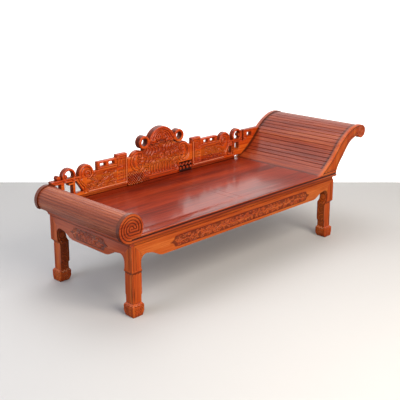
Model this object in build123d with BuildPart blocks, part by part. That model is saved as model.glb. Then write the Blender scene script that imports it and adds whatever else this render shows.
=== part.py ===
"""Scroll-arm daybed in the Chinese manner, all in wood.

A waisted bed frame stands on four carved legs. A reeded roll arm ends it on one
side, an S-curved slatted headrest on the other, and three carved boards stand
along the back. Millimetres, +Z up, long side along X, back towards +Y.
The origin lies on the floor, under the middle of the whole bounding box.
"""

import math
import os

from build123d import *

os.makedirs("parts", exist_ok=True)

# ---- driving sizes: the seat frame ---------------------------------------------
seat_length = 1709.0
seat_depth = 720.0
seat_height = 430.0
edge_height = 28.0          # moulded outer edge of the seat frame
rail_width = 75.0
rail_height = 38.0
edge_width = 30.0           # how far the edge moulding reaches in over the waist
edge_round = 3.0
edge_setback = 1.2          # the top ridge stands back by this from the wide one
top_ridge = 10.0
groove_width = 3.0          # groove between the two ridges of the edge
groove_depth = 4.0
panel_thickness = 18.0
tongue = 8.0                # panel tongue: as long as it is thick
muntin_width = 50.0
batten_width = 42.0
batten_height = 26.0
battens_per_panel = 2
tenon_length = 16.0
tenon_thickness = 12.0
tenon_shoulder = 5.0
fit_gap = 0.3               # clearance left in every joint

# ---- driving sizes: legs, aprons and waist -------------------------------------
overhang = 13.0             # seat edge beyond the legs' outer faces
leg_size = 60.0
waist_height = 22.0
waist_setback = 5.0
waist_thickness = 12.0
leg_step = 10.0             # the lower leg steps in by this, towards the middle
shoulder_height = 240.0
shoulder_ease = 36.0        # height of the curve from the upper to the lower leg's inner side
notch_height = 108.0        # small step on the inner side of the lower leg
notch_depth = 4.0
ankle_height = 68.0
foot_height = 46.0          # height at which the foot is widest
foot_flare = 10.0           # outwards
foot_heel = 4.0             # inwards
foot_taper = 3.0            # from the widest height down to the sole, on the outer side
heel_taper = 9.0            # and on the inner side
apron_height = 94.0
apron_thickness = 24.0
apron_crown = 35.0          # rise of the apron's arch beside each leg
apron_heel = 6.0            # rise of the apron's edge where it meets the leg
arch_shoulder = 0.24        # where the arch's small curve ends, as a share of its reach and rise
arch_inset = 47.0           # arch crown, measured from the leg
arch_reach = 152.0          # where the arch dies into the straight edge
mitre_start = 14.0          # mitred shoulder, measured from the leg's corner
face_layer = 12.0           # thickness of the mitred layer

# ---- driving sizes: roll arm ---------------------------------------------------
roll_radius = 70.0
roll_rise = 46.0            # roll axis above the seat
roll_inset = 4.5            # roll axis inside the end of the seat frame
disc_radius = 76.5
disc_thickness = 25.0
stave_count = 28
stave_thickness = 12.0
former_count = 3
former_thickness = 18.0
spigot_length = 10.0
lip_width = 12.0            # outer lip of the cradle rail, beside the roll's flat underside
soffit_thickness = 12.0
relief = 3.0                # height of carved ridges above their ground
ridge_step = 15.5           # from one spiral ridge of a disc to the next
ridge_width = 10.0

# ---- driving sizes: headrest ---------------------------------------------------
head_start = 676.0          # foot of the curve, measured from the seat's middle
head_heading = 29.0         # slope of the curve where it leaves the seat, degrees
head_arcs = [(700.0, 20.0), (380.0, -25.0), (220.0, -24.0), (139.0, -19.0)]
scroll_radius = 42.5
scroll_wrap = 150.0         # how far the slats follow the scroll, degrees
stile_thickness = 27.0
stile_foot = 174.0
stile_waist = 78.0          # depth of the stile at mid-height
stile_neck = 67.0           # depth of the stile below the scroll
slat_thickness = 11.0
slat_inset = 5.0            # slats lie this far below the stiles' edges
slat_pitch = 29.0
slat_gap = 0.8
base_board_width = 63.0
slat_groove = 5.0
stretcher_width = 40.0
stretcher_thickness = 22.0

# ---- driving sizes: carved back ------------------------------------------------
back_thickness = 30.0
crest_thickness = 41.0      # crest and ring ears, without their raised rims
back_centre = -28.0         # middle of the centre board, from the seat's middle
centre_width = 536.0
plinth_height = 20.0        # recessed foot under the boards' lips
plinth_setback = 8.0
crest_radius = 112.0
crest_top = 326.0           # above the seat
crest_base = 225.0
ring_radius = 41.0
ring_hole = 23.0
ring_spread = 142.0
ring_rise = 247.0
cloud_radius = 63.0
cloud_spread = 183.0
cloud_rise = 140.0
foot_length = 118.0         # full-thickness feet at both ends of the centre board
curl_radius = 28.0
curl_rise = 37.0            # the lip's curled ends, above the lip
lip_width_up = 12.0         # height of the raised lip line
rim_width = 9.0             # raised rim along the carving
joint_height = 206.0        # height of the boards where they meet
# the wings, measured outwards from their joint and upwards from the seat; -1 is the left one
fret_width = 79.0
rail_reach = {-1: 217.0, 1: 232.0}
rail_top = 188.0            # pierced rail of the wings
slot_spans = {-1: [(95.0, 138.0), (158.0, 202.0)], 1: [(106.0, 149.0), (165.0, 212.0)]}
slot_height = 20.0
slot_cover = 11.0           # height of the rail above its slots
wing_volute_radius = 52.0
wing_volute_at = {-1: (300.0, 139.0), 1: (305.0, 146.0)}
loop_radius = 46.0
loop_rises = {-1: 144.0, 1: 158.0}
right_loop_reach = 427.0
loop_curl = 13.0
bar = 16.0                  # width of the openwork bars
bar_rise = 133.0            # top of the bar that carries the loop
# the left wing's openwork follows the roll: it is measured inwards from the wing's outer end
left_end = 19.0             # outer end, inwards from the roll's axis
left_loop_reach = 118.0
left_openings = [
    (213.0, 158.0, 38.0, 108.0), (141.0, 86.0, 38.0, 108.0), (62.0, 0.0, 38.0, 108.0),
]
left_hook = (141.0, 113.0, 91.0, 103.0)
left_haunch = [(164.0, 108.0), (190.0, 74.0), (213.0, 38.0)]    # curved side of the first opening
end_scroll = 14.0
end_scroll_at = (49.0, 144.0)
right_reach = 660.0
right_openings = [(345.0, 374.0, 46.0, 93.0), (410.0, 443.0, 68.0, 107.0)]
block_span = (470.0, 660.0)
block_rise = 184.0
block_openings = [(480.0, 495.0, 112.0, 184.0), (530.0, 574.0, 138.0, 162.0)]
dowel_radius = 5.0
dowel_length = 40.0

# ---- places that follow from the sizes -----------------------------------------
half_length = seat_length / 2
half_depth = seat_depth / 2
leg_x = half_length - overhang
leg_y = half_depth - overhang
edge_bottom = seat_height - edge_height
rail_bottom = seat_height - rail_height
apron_top = edge_bottom - waist_height
apron_bottom = apron_top - apron_height
waist_depth = waist_setback + waist_thickness
rail_inner_x = half_length - rail_width
rail_inner_y = half_depth - rail_width
top_ridge_z = seat_height - top_ridge / 2
wide_ridge_top = seat_height - top_ridge - groove_width
wide_ridge_z = (wide_ridge_top + edge_bottom) / 2
rail_start = half_length - overhang - waist_depth      # where the long rails meet the cradle rail
batten_bottom = seat_height - panel_thickness - batten_height
cross_tenon_z = seat_height - panel_thickness - tenon_shoulder - tenon_thickness
cross_tenon_width = batten_width - 2 * tenon_shoulder
roll_x = -half_length + roll_inset
roll_z = seat_height + roll_rise
disc_inner_y = half_depth - disc_thickness
stave_half = disc_inner_y - fit_gap
bore_radius = roll_radius - stave_thickness
stave_step = 360.0 / stave_count
former_radius = bore_radius * math.cos(math.radians(stave_step / 2)) - fit_gap
stile_inner_y = half_depth - stile_thickness
back_front_y = half_depth - back_thickness


def curve_point(length, inset=0.0):
    """Point and heading on the headrest's curve, `length` along it, `inset` below it."""
    x, z, heading = head_start, seat_height, math.radians(head_heading)
    turns = head_arcs + [(scroll_radius, -270.0)]
    for radius, degrees in turns:
        side = math.copysign(1.0, degrees)
        sweep = min(length / radius, abs(math.radians(degrees)))
        centre_x = x - side * radius * math.sin(heading)
        centre_z = z + side * radius * math.cos(heading)
        heading += side * sweep
        x = centre_x + side * radius * math.sin(heading)
        z = centre_z - side * radius * math.cos(heading)
        length -= radius * sweep
        if length <= 0:
            break
    return x + inset * math.sin(heading), z - inset * math.cos(heading), heading


def arcs_length(arcs):
    """Length of a chain of arcs given as radius and turn."""
    return sum(radius * abs(math.radians(degrees)) for radius, degrees in arcs)


curve_length = arcs_length(head_arcs)
tip_x, tip_z, tip_heading = curve_point(curve_length)
scroll_x = tip_x + scroll_radius * math.sin(tip_heading)
scroll_z = tip_z - scroll_radius * math.cos(tip_heading)
head_reach = scroll_x + scroll_radius
roll_reach = -roll_x + disc_radius
mid_x = (roll_reach - head_reach) / 2       # middle of the seat in the part's frame


def facing_front(y):
    """Plane parallel to the long side: local X along the bed, local Y up."""
    return Plane(origin=(mid_x, y, 0), x_dir=(1, 0, 0), z_dir=(0, -1, 0))


def facing_side(x):
    """Plane across the bed: local X towards the back, local Y up."""
    return Plane(origin=(mid_x + x, 0, 0), x_dir=(0, 1, 0), z_dir=(1, 0, 0))


def floor_plane(z):
    """Horizontal plane, centred under the seat."""
    return Plane(origin=(mid_x, 0, z), x_dir=(1, 0, 0), z_dir=(0, 0, 1))


def spiral_point(radius, degrees):
    """Point at a radius and angle from the middle of a volute."""
    angle = math.radians(degrees)
    return radius * math.cos(angle), radius * math.sin(angle)


def volute(centre, outer, turns, start, pitch, width, hand=1):
    """Flat spiral band of quarter-turn arcs, winding and tapering inwards."""
    steps = round(turns * 4)
    rims = ([], [])
    for step in range(2 * steps + 1):
        angle = step * 45.0
        middle = outer - width / 2 - pitch * angle / 360
        half = width / 2 * (1 - 0.35 * step / (2 * steps))
        for rim, radius in zip(rims, (middle + half, middle - half)):
            x, z = spiral_point(radius, start + hand * angle)
            rim.append((centre[0] + x, centre[1] + z))
    with BuildSketch(Plane.XY) as band:
        with BuildLine():
            for rim in rims:
                for step in range(steps):
                    ThreePointArc(*rim[2 * step:2 * step + 3])
            Line(rims[0][0], rims[1][0])
            Line(rims[0][-1], rims[1][-1])
        make_face()
    return band.sketch


def scroll_band(centre, radii, width, lift=0.0):
    """Flat band that winds inwards through `radii`: round, but level along its bottom.

    It starts below the centre, `lift` nearer to it than the first radius, and runs round by
    the left. On the right it turns a sharp corner and returns level, as far below the centre
    as the next radius.
    """
    centre_x, centre_z = centre
    ends = ([], [])
    with BuildSketch(Plane.XY) as band:
        with BuildLine():
            for rim, offset in enumerate((width / 2, -width / 2)):
                for turn, middle in enumerate(radii):
                    radius = middle + offset
                    bottom = radius - (lift if turn == 0 else 0.0)
                    eased = (radius + bottom) / 2
                    low = spiral_point(eased, 225)
                    ThreePointArc(
                        (centre_x, centre_z - bottom),
                        (centre_x + low[0], centre_z + low[1]),
                        (centre_x - radius, centre_z),
                    )
                    if turn + 1 < len(radii):
                        level = radii[turn + 1] + offset
                        last = -math.degrees(math.asin(level / radius))
                    else:
                        last = 0.0
                    start = spiral_point(radius, 180)
                    middle_of_arc = spiral_point(radius, (180 + last) / 2)
                    finish = spiral_point(radius, last)
                    ThreePointArc(*(
                        (centre_x + x, centre_z + z) for x, z in (start, middle_of_arc, finish)
                    ))
                    corner = (centre_x + finish[0], centre_z + finish[1])
                    if turn == 0:
                        ends[rim].append((centre_x, centre_z - bottom))
                    if turn + 1 < len(radii):
                        Line(corner, (centre_x, corner[1]))
                    else:
                        ends[rim].append(corner)
            Line(ends[0][0], ends[1][0])
            Line(ends[0][1], ends[1][1])
        make_face()
    return band.sketch


def save(piece, name):
    """Label a finished sub-part and write it as a STEP file of that name."""
    piece.label = name
    export_step(piece, f"parts/{name}.step")


# ================================================================================
# Legs: two sawn profiles crossed, as a bracket leg is cut from a square post
# ================================================================================

def leg_outline():
    """Leg seen from one side: local X runs in from the outer face, local Y up."""
    inner = leg_size + leg_step
    waist = inner - notch_depth
    toe = leg_step - foot_flare
    heel = inner + foot_heel
    scroll_top = ankle_height - 0.25 * (ankle_height - foot_height)
    step_bottom = shoulder_height - leg_step
    with BuildSketch(Plane.XY) as outline:
        with BuildLine():
            Polyline(
                (waist_depth, rail_bottom),
                (waist_depth, apron_top),
                (0, apron_top),
                (0, shoulder_height),
                (leg_step, step_bottom),
                (leg_step, ankle_height),
            )
            # the foot's scroll bulges out of the post at once, then eases down to the sole
            ThreePointArc(
                (leg_step, ankle_height),
                (leg_step - 0.7 * foot_flare, scroll_top),
                (toe, foot_height),
            )
            ThreePointArc(
                (toe, foot_height),
                (toe + 0.15 * foot_taper, foot_height / 2),
                (toe + foot_taper, 0),
            )
            Line((toe + foot_taper, 0), (heel - heel_taper, 0))
            ThreePointArc(
                (heel - heel_taper, 0),
                (heel - 0.15 * heel_taper, foot_height / 2),
                (heel, foot_height),
            )
            ThreePointArc(
                (heel, foot_height),
                (waist + 0.6 * (heel - waist), scroll_top),
                (waist, ankle_height),
            )
            Polyline(
                (waist, ankle_height),
                (waist, notch_height),
                (inner, notch_height + notch_depth),
                (inner, step_bottom),
            )
            ThreePointArc(
                (inner, step_bottom),
                (leg_size + 0.3 * leg_step, step_bottom + shoulder_ease / 2),
                (leg_size, step_bottom + shoulder_ease),
            )
            Polyline(
                (leg_size, step_bottom + shoulder_ease),
                (leg_size, rail_bottom),
                (waist_depth, rail_bottom),
            )
        make_face()
    return outline.sketch


leg_front = Plane(origin=(mid_x - leg_x, -leg_y, 0), x_dir=(1, 0, 0), z_dir=(0, -1, 0))
leg_side = Plane(origin=(mid_x - leg_x, -leg_y, 0), x_dir=(0, 1, 0), z_dir=(1, 0, 0))
leg_reach = leg_size + leg_step + foot_heel
with BuildPart() as leg:
    with BuildSketch(leg_front):
        add(leg_outline())
    extrude(amount=-leg_reach)
    with BuildSketch(leg_side):
        add(leg_outline())
    extrude(amount=leg_reach, mode=Mode.INTERSECT)
    # stub tenon that enters the seat frame
    tenon_side = leg_size - waist_depth - 2 * (tenon_thickness - 4)
    tenon_at = waist_depth + (leg_size - waist_depth) / 2
    with BuildSketch(floor_plane(rail_bottom)):
        with Locations((-leg_x + tenon_at, -leg_y + tenon_at)):
            Rectangle(tenon_side, tenon_side)
    extrude(amount=tenon_thickness)
    # mitred shoulders and mortises that receive the aprons, one on each outer face
    for plane, sign in ((leg_front, -1), (leg_side, 1)):
        with BuildSketch(plane):
            with BuildLine():
                Polyline(
                    (mitre_start, apron_top),
                    (leg_size, apron_top),
                    (leg_size, apron_top - leg_size + mitre_start),
                    close=True,
                )
            make_face()
        extrude(amount=sign * face_layer, mode=Mode.SUBTRACT)

corners = {
    "leg_front_left": leg.part,
    "leg_front_right": leg.part.mirror(Plane(origin=(mid_x, 0, 0), z_dir=(1, 0, 0))),
}
for name, corner in corners.items():
    save(corner, name)
    save(corner.mirror(Plane.XZ), name.replace("front", "back"))


# ================================================================================
# Aprons: straight boards whose lower edge arches up beside each leg
# ================================================================================

def apron_outline(inner):
    """Apron seen from its face; `inner` is half the clear length between legs."""
    heel = apron_bottom + apron_heel
    crown = apron_bottom + apron_crown
    with BuildSketch(Plane.XY) as outline:
        for side in (-1, 1):
            with BuildLine():
                Polyline((0, apron_top), (side * inner, apron_top), (side * inner, heel))
                ThreePointArc(
                    (side * inner, heel),
                    (side * (inner - arch_shoulder * arch_inset), crown - arch_shoulder * (crown - heel)),
                    (side * (inner - arch_inset), crown),
                )
                Spline(
                    (side * (inner - arch_inset), crown),
                    (side * (inner - arch_reach), apron_bottom),
                    tangents=((-side, 0), (-side, 0)),
                )
                Polyline((side * (inner - arch_reach), apron_bottom), (0, apron_bottom), (0, apron_top))
            make_face()
    return outline.sketch


def apron(plane, inner, inward):
    """Apron board with the mitred ears that lap the legs' outer faces."""
    with BuildPart() as board:
        with BuildSketch(plane):
            add(apron_outline(inner))
        extrude(amount=inward * apron_thickness)
        with BuildSketch(plane):
            for side in (-1, 1):
                with BuildLine():
                    Polyline(
                        (side * inner, apron_top),
                        (side * (inner + leg_size - mitre_start), apron_top),
                        (side * inner, apron_top - leg_size + mitre_start),
                        close=True,
                    )
                make_face()
        extrude(amount=inward * face_layer)
    return board.part


front_clear = leg_x - leg_size
side_clear = leg_y - leg_size
front_apron = apron(facing_front(-leg_y), front_clear, -1)
left_apron = apron(facing_side(-leg_x), side_clear, 1)
across = Plane(origin=(mid_x, 0, 0), z_dir=(1, 0, 0))
save(front_apron, "apron_front")
save(front_apron.mirror(Plane.XZ), "apron_back")
save(left_apron, "apron_left")
save(left_apron.mirror(across), "apron_right")

# ================================================================================
# Seat frame: three moulded rails, a cradle rail under the roll, a muntin
# ================================================================================

def edge_outline():
    """Section of a seat rail: local X runs in from the outer edge, local Y up."""
    with BuildSketch(Plane.XY) as outline:
        with BuildLine():
            Polyline(
                (edge_width, edge_bottom),
                (edge_width, rail_bottom),
                (rail_width, rail_bottom),
                (rail_width, seat_height),
                (edge_round, seat_height),
            )
            ThreePointArc(
                (edge_round, seat_height),
                (edge_setback, top_ridge_z),
                (groove_depth, seat_height - top_ridge),
            )
            Line((groove_depth, seat_height - top_ridge), (groove_depth, wide_ridge_top))
            ThreePointArc(
                (groove_depth, wide_ridge_top),
                (0, wide_ridge_z),
                (edge_round, edge_bottom),
            )
            Line((edge_round, edge_bottom), (edge_width, edge_bottom))
        make_face()
    return outline.sketch


tongue_top = seat_height - (panel_thickness - tongue) / 2
disc_seat = disc_radius + fit_gap
roll_seat = roll_radius + fit_gap


def below_roll(top, inwards):
    """Everything lower than `top` and outside the frame, or up to `inwards` inside its end."""
    with BuildPart() as block:
        with BuildSketch(floor_plane(0)):
            with Locations((-half_length + inwards - disc_radius, 0)):
                Rectangle(2 * disc_radius, 2 * seat_depth)
        extrude(amount=top)
    return block.part


# room for the staves in every piece that they rest in, and room for the discs
with BuildPart() as roll_room:
    with BuildSketch(facing_front(-disc_inner_y - fit_gap)):
        with Locations((roll_x, roll_z)):
            Circle(roll_seat)
    extrude(amount=-2 * (disc_inner_y + fit_gap))
    add(below_roll(seat_height, lip_width), mode=Mode.SUBTRACT)

with BuildPart() as disc_room:
    for side in (-1, 1):
        with BuildSketch(facing_front(side * (disc_inner_y - fit_gap))):
            with Locations((roll_x, roll_z)):
                Circle(disc_seat)
        extrude(amount=-side * (disc_thickness + 2 * fit_gap + overhang))

# the long rails' moulded edges, where they run on under the discs
with BuildPart() as edge_run:
    for side in (-1, 1):
        with BuildSketch(floor_plane(edge_bottom - fit_gap)):
            with Locations((-half_length, side * half_depth)):
                Rectangle(2 * (half_length - rail_start) + fit_gap, 2 * (edge_width + fit_gap))
        extrude(amount=edge_height + 2 * fit_gap)

# mortises for the legs' stub tenons
with BuildPart() as leg_mortises:
    with BuildSketch(floor_plane(rail_bottom)):
        with GridLocations(2 * (leg_x - tenon_at), 2 * (leg_y - tenon_at), 2, 2):
            Rectangle(tenon_side + 2 * fit_gap, tenon_side + 2 * fit_gap)
    extrude(amount=tenon_thickness + fit_gap)

# slot for the panels' tongues, cut into every rail and into the muntin
with BuildPart() as panel_slot:
    with BuildSketch(floor_plane(tongue_top - tongue - fit_gap / 2)):
        Rectangle(2 * (rail_inner_x + tongue + fit_gap), 2 * (rail_inner_y + tongue + fit_gap))
        Rectangle(muntin_width - 2 * (tongue + fit_gap), 2 * half_depth, mode=Mode.SUBTRACT)
    extrude(amount=tongue + fit_gap)

# mortises in the long rails for the muntin and the battens
panel_length = rail_inner_x - muntin_width / 2
batten_step = panel_length / (battens_per_panel + 1)
batten_places = [
    side * (muntin_width / 2 + (number + 1) * batten_step)
    for side in (-1, 1)
    for number in range(battens_per_panel)
]
with BuildPart() as cross_mortises:
    with BuildSketch(floor_plane(cross_tenon_z - fit_gap / 2)):
        for place in [0] + batten_places:
            with Locations((place, 0)):
                Rectangle(
                    cross_tenon_width + 2 * fit_gap,
                    2 * (rail_inner_y + tenon_length + fit_gap),
                )
    extrude(amount=tenon_thickness + fit_gap)

with BuildPart() as rail_front:
    with BuildSketch(Plane(origin=(mid_x - rail_start, -half_depth, 0), x_dir=(0, 1, 0), z_dir=(1, 0, 0))):
        add(edge_outline())
    extrude(amount=rail_start + half_length)
    # only the moulded edge runs on, to the middle of the roll
    with BuildSketch(Plane(origin=(mid_x - rail_start, -half_depth, 0), x_dir=(0, 1, 0), z_dir=(1, 0, 0))):
        add(edge_outline())
        with Locations((edge_width + rail_width / 2, seat_height)):
            Rectangle(rail_width, 2 * rail_height + fit_gap, mode=Mode.SUBTRACT)
    extrude(amount=-(-roll_x - fit_gap - rail_start))
    # mitre with the rail under the headrest
    with BuildSketch(floor_plane(0)):
        with BuildLine():
            Polyline(
                (half_length, -half_depth),
                (half_length - rail_width, -half_depth + rail_width),
                (half_length + rail_width, -half_depth + rail_width),
                close=True,
            )
        make_face()
    extrude(amount=2 * seat_height, mode=Mode.SUBTRACT)
    for cutter in (roll_room, leg_mortises, panel_slot, cross_mortises):
        add(cutter.part, mode=Mode.SUBTRACT)
    # mortise for the headrest stile
    with BuildSketch(floor_plane(seat_height - tenon_length - fit_gap)):
        with Locations((head_start + stile_foot / 2, -(half_depth + stile_inner_y) / 2)):
            Rectangle(stile_foot / 2 + 2 * fit_gap, tenon_thickness + 2 * fit_gap)
    extrude(amount=2 * tenon_length, mode=Mode.SUBTRACT)

with BuildPart() as rail_right:
    with BuildSketch(Plane(origin=(mid_x + half_length, -half_depth, 0), x_dir=(-1, 0, 0), z_dir=(0, 1, 0))):
        add(edge_outline())
    extrude(amount=2 * half_depth)
    with BuildSketch(floor_plane(0)):
        for side in (-1, 1):
            with BuildLine():
                Polyline(
                    (half_length, side * half_depth),
                    (half_length - rail_width, side * (half_depth - rail_width)),
                    (half_length - 2 * rail_width, side * half_depth),
                    close=True,
                )
            make_face()
    extrude(amount=2 * seat_height, mode=Mode.SUBTRACT)
    for cutter in (leg_mortises, panel_slot):
        add(cutter.part, mode=Mode.SUBTRACT)

# the cradle rail: its top is hollowed to the roll, its outer lip covers the legs' heads
with BuildPart() as rail_left:
    with BuildSketch(facing_front(rail_inner_y)):
        with BuildLine():
            Polyline(
                (-rail_start, rail_bottom),
                (-rail_inner_x, rail_bottom),
                (-rail_inner_x, seat_height),
                (-rail_start, seat_height),
                close=True,
            )
        make_face()
    extrude(amount=2 * rail_inner_y)
    with BuildSketch(facing_front(leg_y)):
        with BuildLine():
            Polyline(
                (-rail_start, seat_height),
                (-half_length, seat_height),
                (-half_length, apron_top + 0.8 * waist_height),
            )
            ThreePointArc(
                (-half_length, apron_top + 0.8 * waist_height),
                (-half_length + 0.3 * overhang, apron_top + 0.3 * waist_height),
                (-leg_x - 1, apron_top),
            )
            Polyline((-leg_x - 1, apron_top), (-rail_start, apron_top), (-rail_start, seat_height))
        make_face()
    extrude(amount=2 * leg_y)
    for cutter in (roll_room, disc_room, edge_run, leg_mortises, panel_slot):
        add(cutter.part, mode=Mode.SUBTRACT)

save(rail_front.part, "rail_front")
save(rail_right.part, "rail_right")
save(rail_left.part, "rail_left")

# waist strips between the seat edge and the aprons
with BuildPart() as waist_front:
    with BuildSketch(floor_plane(apron_top)):
        strip_end = leg_x - waist_setback
        strip_y = leg_y - waist_setback
        with BuildLine():
            Polyline(
                (-rail_start, -strip_y),
                (strip_end, -strip_y),
                (strip_end - waist_thickness, -strip_y + waist_thickness),
                (-rail_start, -strip_y + waist_thickness),
                close=True,
            )
        make_face()
    extrude(amount=waist_height)
    add(roll_room.part, mode=Mode.SUBTRACT)

with BuildPart() as waist_right:
    with BuildSketch(floor_plane(apron_top)):
        with BuildLine():
            Polyline(
                (strip_end, -strip_y),
                (strip_end, strip_y),
                (strip_end - waist_thickness, strip_y - waist_thickness),
                (strip_end - waist_thickness, -strip_y + waist_thickness),
                close=True,
            )
        make_face()
    extrude(amount=waist_height)

save(waist_front.part, "waist_front")
save(waist_front.part.mirror(Plane.XZ), "waist_back")
save(waist_right.part, "waist_right")

# muntin, battens and the two floating panels
with BuildPart() as muntin:
    with BuildSketch(floor_plane(rail_bottom)):
        Rectangle(muntin_width, 2 * rail_inner_y)
    extrude(amount=rail_height)
    with BuildSketch(floor_plane(cross_tenon_z)):
        Rectangle(cross_tenon_width, 2 * (rail_inner_y + tenon_length))
    extrude(amount=tenon_thickness)
    add(panel_slot.part, mode=Mode.SUBTRACT)
save(muntin.part, "seat_muntin")

for number, place in enumerate(batten_places, 1):
    with BuildPart() as batten:
        with BuildSketch(floor_plane(batten_bottom)):
            with Locations((place, 0)):
                Rectangle(batten_width, 2 * rail_inner_y)
        extrude(amount=batten_height)
        with BuildSketch(floor_plane(cross_tenon_z)):
            with Locations((place, 0)):
                Rectangle(cross_tenon_width, 2 * (rail_inner_y + tenon_length))
        extrude(amount=tenon_thickness)
    save(batten.part, f"batten_{number}")

for name, side in (("seat_panel_left", -1), ("seat_panel_right", 1)):
    place = side * (rail_inner_x + muntin_width / 2) / 2
    with BuildPart() as panel:
        with BuildSketch(floor_plane(seat_height - panel_thickness)):
            with Locations((place, 0)):
                Rectangle(panel_length - 2 * fit_gap, 2 * (rail_inner_y - fit_gap))
        extrude(amount=panel_thickness)
        with BuildSketch(floor_plane(tongue_top - tongue)):
            with Locations((place, 0)):
                Rectangle(panel_length + 2 * tongue, 2 * (rail_inner_y + tongue))
        extrude(amount=tongue)
        add(roll_room.part, mode=Mode.SUBTRACT)
    save(panel.part, name)

# ================================================================================
# Roll arm: two carved discs, a ring of reeded staves, formers inside
# ================================================================================

soffit_top = seat_height + fit_gap + soffit_thickness


def former_outline():
    """Filling of the staves' ring: round, but flat where it stands on the soffit board."""
    with BuildSketch(Plane.XY) as outline:
        with Locations((roll_x, roll_z)):
            Circle(former_radius)
        with Locations((roll_x, soffit_top + fit_gap - former_radius)):
            Rectangle(2 * former_radius, 2 * former_radius, mode=Mode.SUBTRACT)
    return outline.sketch


with BuildPart() as disc:
    with BuildSketch(facing_front(-half_depth + relief)):
        with Locations((roll_x, roll_z)):
            Circle(disc_radius)
    extrude(amount=-(disc_thickness - relief))
    # carved face: the two ridges of the seat edge run on into a double spiral
    with BuildSketch(facing_front(-half_depth + relief)):
        for first, ridge_z in ((0, wide_ridge_z), (1, top_ridge_z)):
            outer = disc_radius - ridge_width / 2 - 1.5 - first * ridge_step
            turns = int((outer - ridge_width / 2) / (2 * ridge_step)) + 1
            radii = [outer - 2 * ridge_step * turn for turn in range(turns)]
            add(scroll_band((roll_x, roll_z), radii, ridge_width, ridge_z - roll_z + outer))
    extrude(amount=relief)
    # the seat edge passes under the disc's inner quarter
    with BuildSketch(facing_front(-half_depth)):
        with Locations((roll_x + disc_radius, seat_height + fit_gap - disc_radius)):
            Rectangle(2 * disc_radius, 2 * disc_radius, mode=Mode.ADD)
    extrude(amount=-disc_thickness, mode=Mode.SUBTRACT)
    with BuildSketch(facing_front(-disc_inner_y)):
        add(former_outline())
    extrude(amount=-spigot_length)

# the back disc ends flat on the frame's level, where it stands out beyond the frame
with BuildPart() as back_disc:
    add(disc.part.mirror(Plane.XZ))
    add(below_roll(seat_height + fit_gap, -fit_gap), mode=Mode.SUBTRACT)

save(disc.part, "roll_disc_front")
save(back_disc.part, "roll_disc_back")

# the soffit board takes the place of the staves that lie outwards of the lowest point
stave_margin = math.degrees(fit_gap / 2 / roll_radius)
lowest_stave = 3 * stave_count // 4
soffit_angle = math.degrees(math.acos((roll_z - seat_height) / bore_radius))
soffit_staves = math.ceil(soffit_angle / stave_step)
with BuildPart() as staves:
    with BuildSketch(facing_front(-stave_half)):
        for number in range(lowest_stave - stave_count, lowest_stave - soffit_staves):
            low = number * stave_step + stave_margin
            high = (number + 1) * stave_step - stave_margin
            rim = roll_radius * math.cos(math.radians(stave_step / 2))
            corners = [
                (roll_x + x, roll_z + z)
                for x, z in (
                    spiral_point(bore_radius, low),
                    spiral_point(rim - 1.0, low),
                    spiral_point(roll_radius, (low + high) / 2),
                    spiral_point(rim - 1.0, high),
                    spiral_point(bore_radius, high),
                )
            ]
            with BuildLine():
                Line(corners[0], corners[1])
                ThreePointArc(corners[1], corners[2], corners[3])
                Polyline(corners[3], corners[4], corners[0])
            make_face()
    extrude(amount=-2 * stave_half)
    add(below_roll(seat_height + fit_gap, lip_width + fit_gap), mode=Mode.SUBTRACT)
save(staves.part, "roll_staves")

# flat board that closes the roll's underside; it lies on the cradle rail's lip
soffit_reach = spiral_point(bore_radius, 90 - soffit_staves * stave_step)[0] - fit_gap
with BuildPart() as soffit:
    with BuildSketch(floor_plane(seat_height + fit_gap)):
        soffit_end = -half_length + lip_width
        with Locations(((roll_x - soffit_reach + soffit_end) / 2, 0)):
            Rectangle(soffit_end - roll_x + soffit_reach, 2 * stave_half)
    extrude(amount=soffit_thickness)
save(soffit.part, "roll_soffit")

with BuildPart() as formers:
    for number in range(former_count):
        spread = 2 * (stave_half - spigot_length)
        place = spread * ((number + 1) / (former_count + 1) - 0.5)
        with BuildSketch(facing_front(place - former_thickness / 2)):
            add(former_outline())
            with Locations((roll_x, roll_z)):
                Circle(soffit_thickness, mode=Mode.SUBTRACT)
        extrude(amount=-former_thickness)
save(formers.part, "roll_formers")

# ================================================================================
# Headrest: two S-curved stiles with a scroll, slats housed between them
# ================================================================================

def band_outline(start, end, top, bottom):
    """Strip that follows the curve from `start` to `end`, between two insets."""
    middle = (start + end) / 2
    outer = [curve_point(length, top)[:2] for length in (start, middle, end)]
    inner = [curve_point(length, bottom)[:2] for length in (end, middle, start)]
    with BuildSketch(Plane.XY) as outline:
        with BuildLine():
            ThreePointArc(*outer)
            Line(outer[-1], inner[0])
            ThreePointArc(*inner)
            Line(inner[-1], outer[0])
        make_face()
    return outline.sketch


def stile_outline():
    """S-curved stile: the slats' curve above, a freer curve below, a scroll at the tip."""
    start = 0.0
    with BuildSketch(Plane.XY) as outline:
        with BuildLine():
            for radius, degrees in head_arcs:
                length = radius * abs(math.radians(degrees))
                points = [curve_point(start + share * length)[:2] for share in (0, 0.5, 1)]
                ThreePointArc(*points)
                start += length
            Line((tip_x, tip_z), (scroll_x, scroll_z))
            neck = (scroll_x - 0.9 * scroll_radius, scroll_z - 0.42 * scroll_radius)
            Line((scroll_x, scroll_z), neck)
            low = curve_point(0.66 * curve_length, stile_neck)[:2]
            waist = curve_point(0.42 * curve_length, stile_waist)[:2]
            Spline(
                neck,
                low,
                waist,
                (head_start + stile_foot, seat_height),
                tangents=((-1, -0.2), (-0.35, -1)),
            )
            Line((head_start + stile_foot, seat_height), (head_start, seat_height))
        make_face()
        with Locations((scroll_x, scroll_z)):
            Circle(scroll_radius)
    return outline.sketch


slat_top = slat_inset
slat_bottom = slat_inset + slat_thickness
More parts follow.
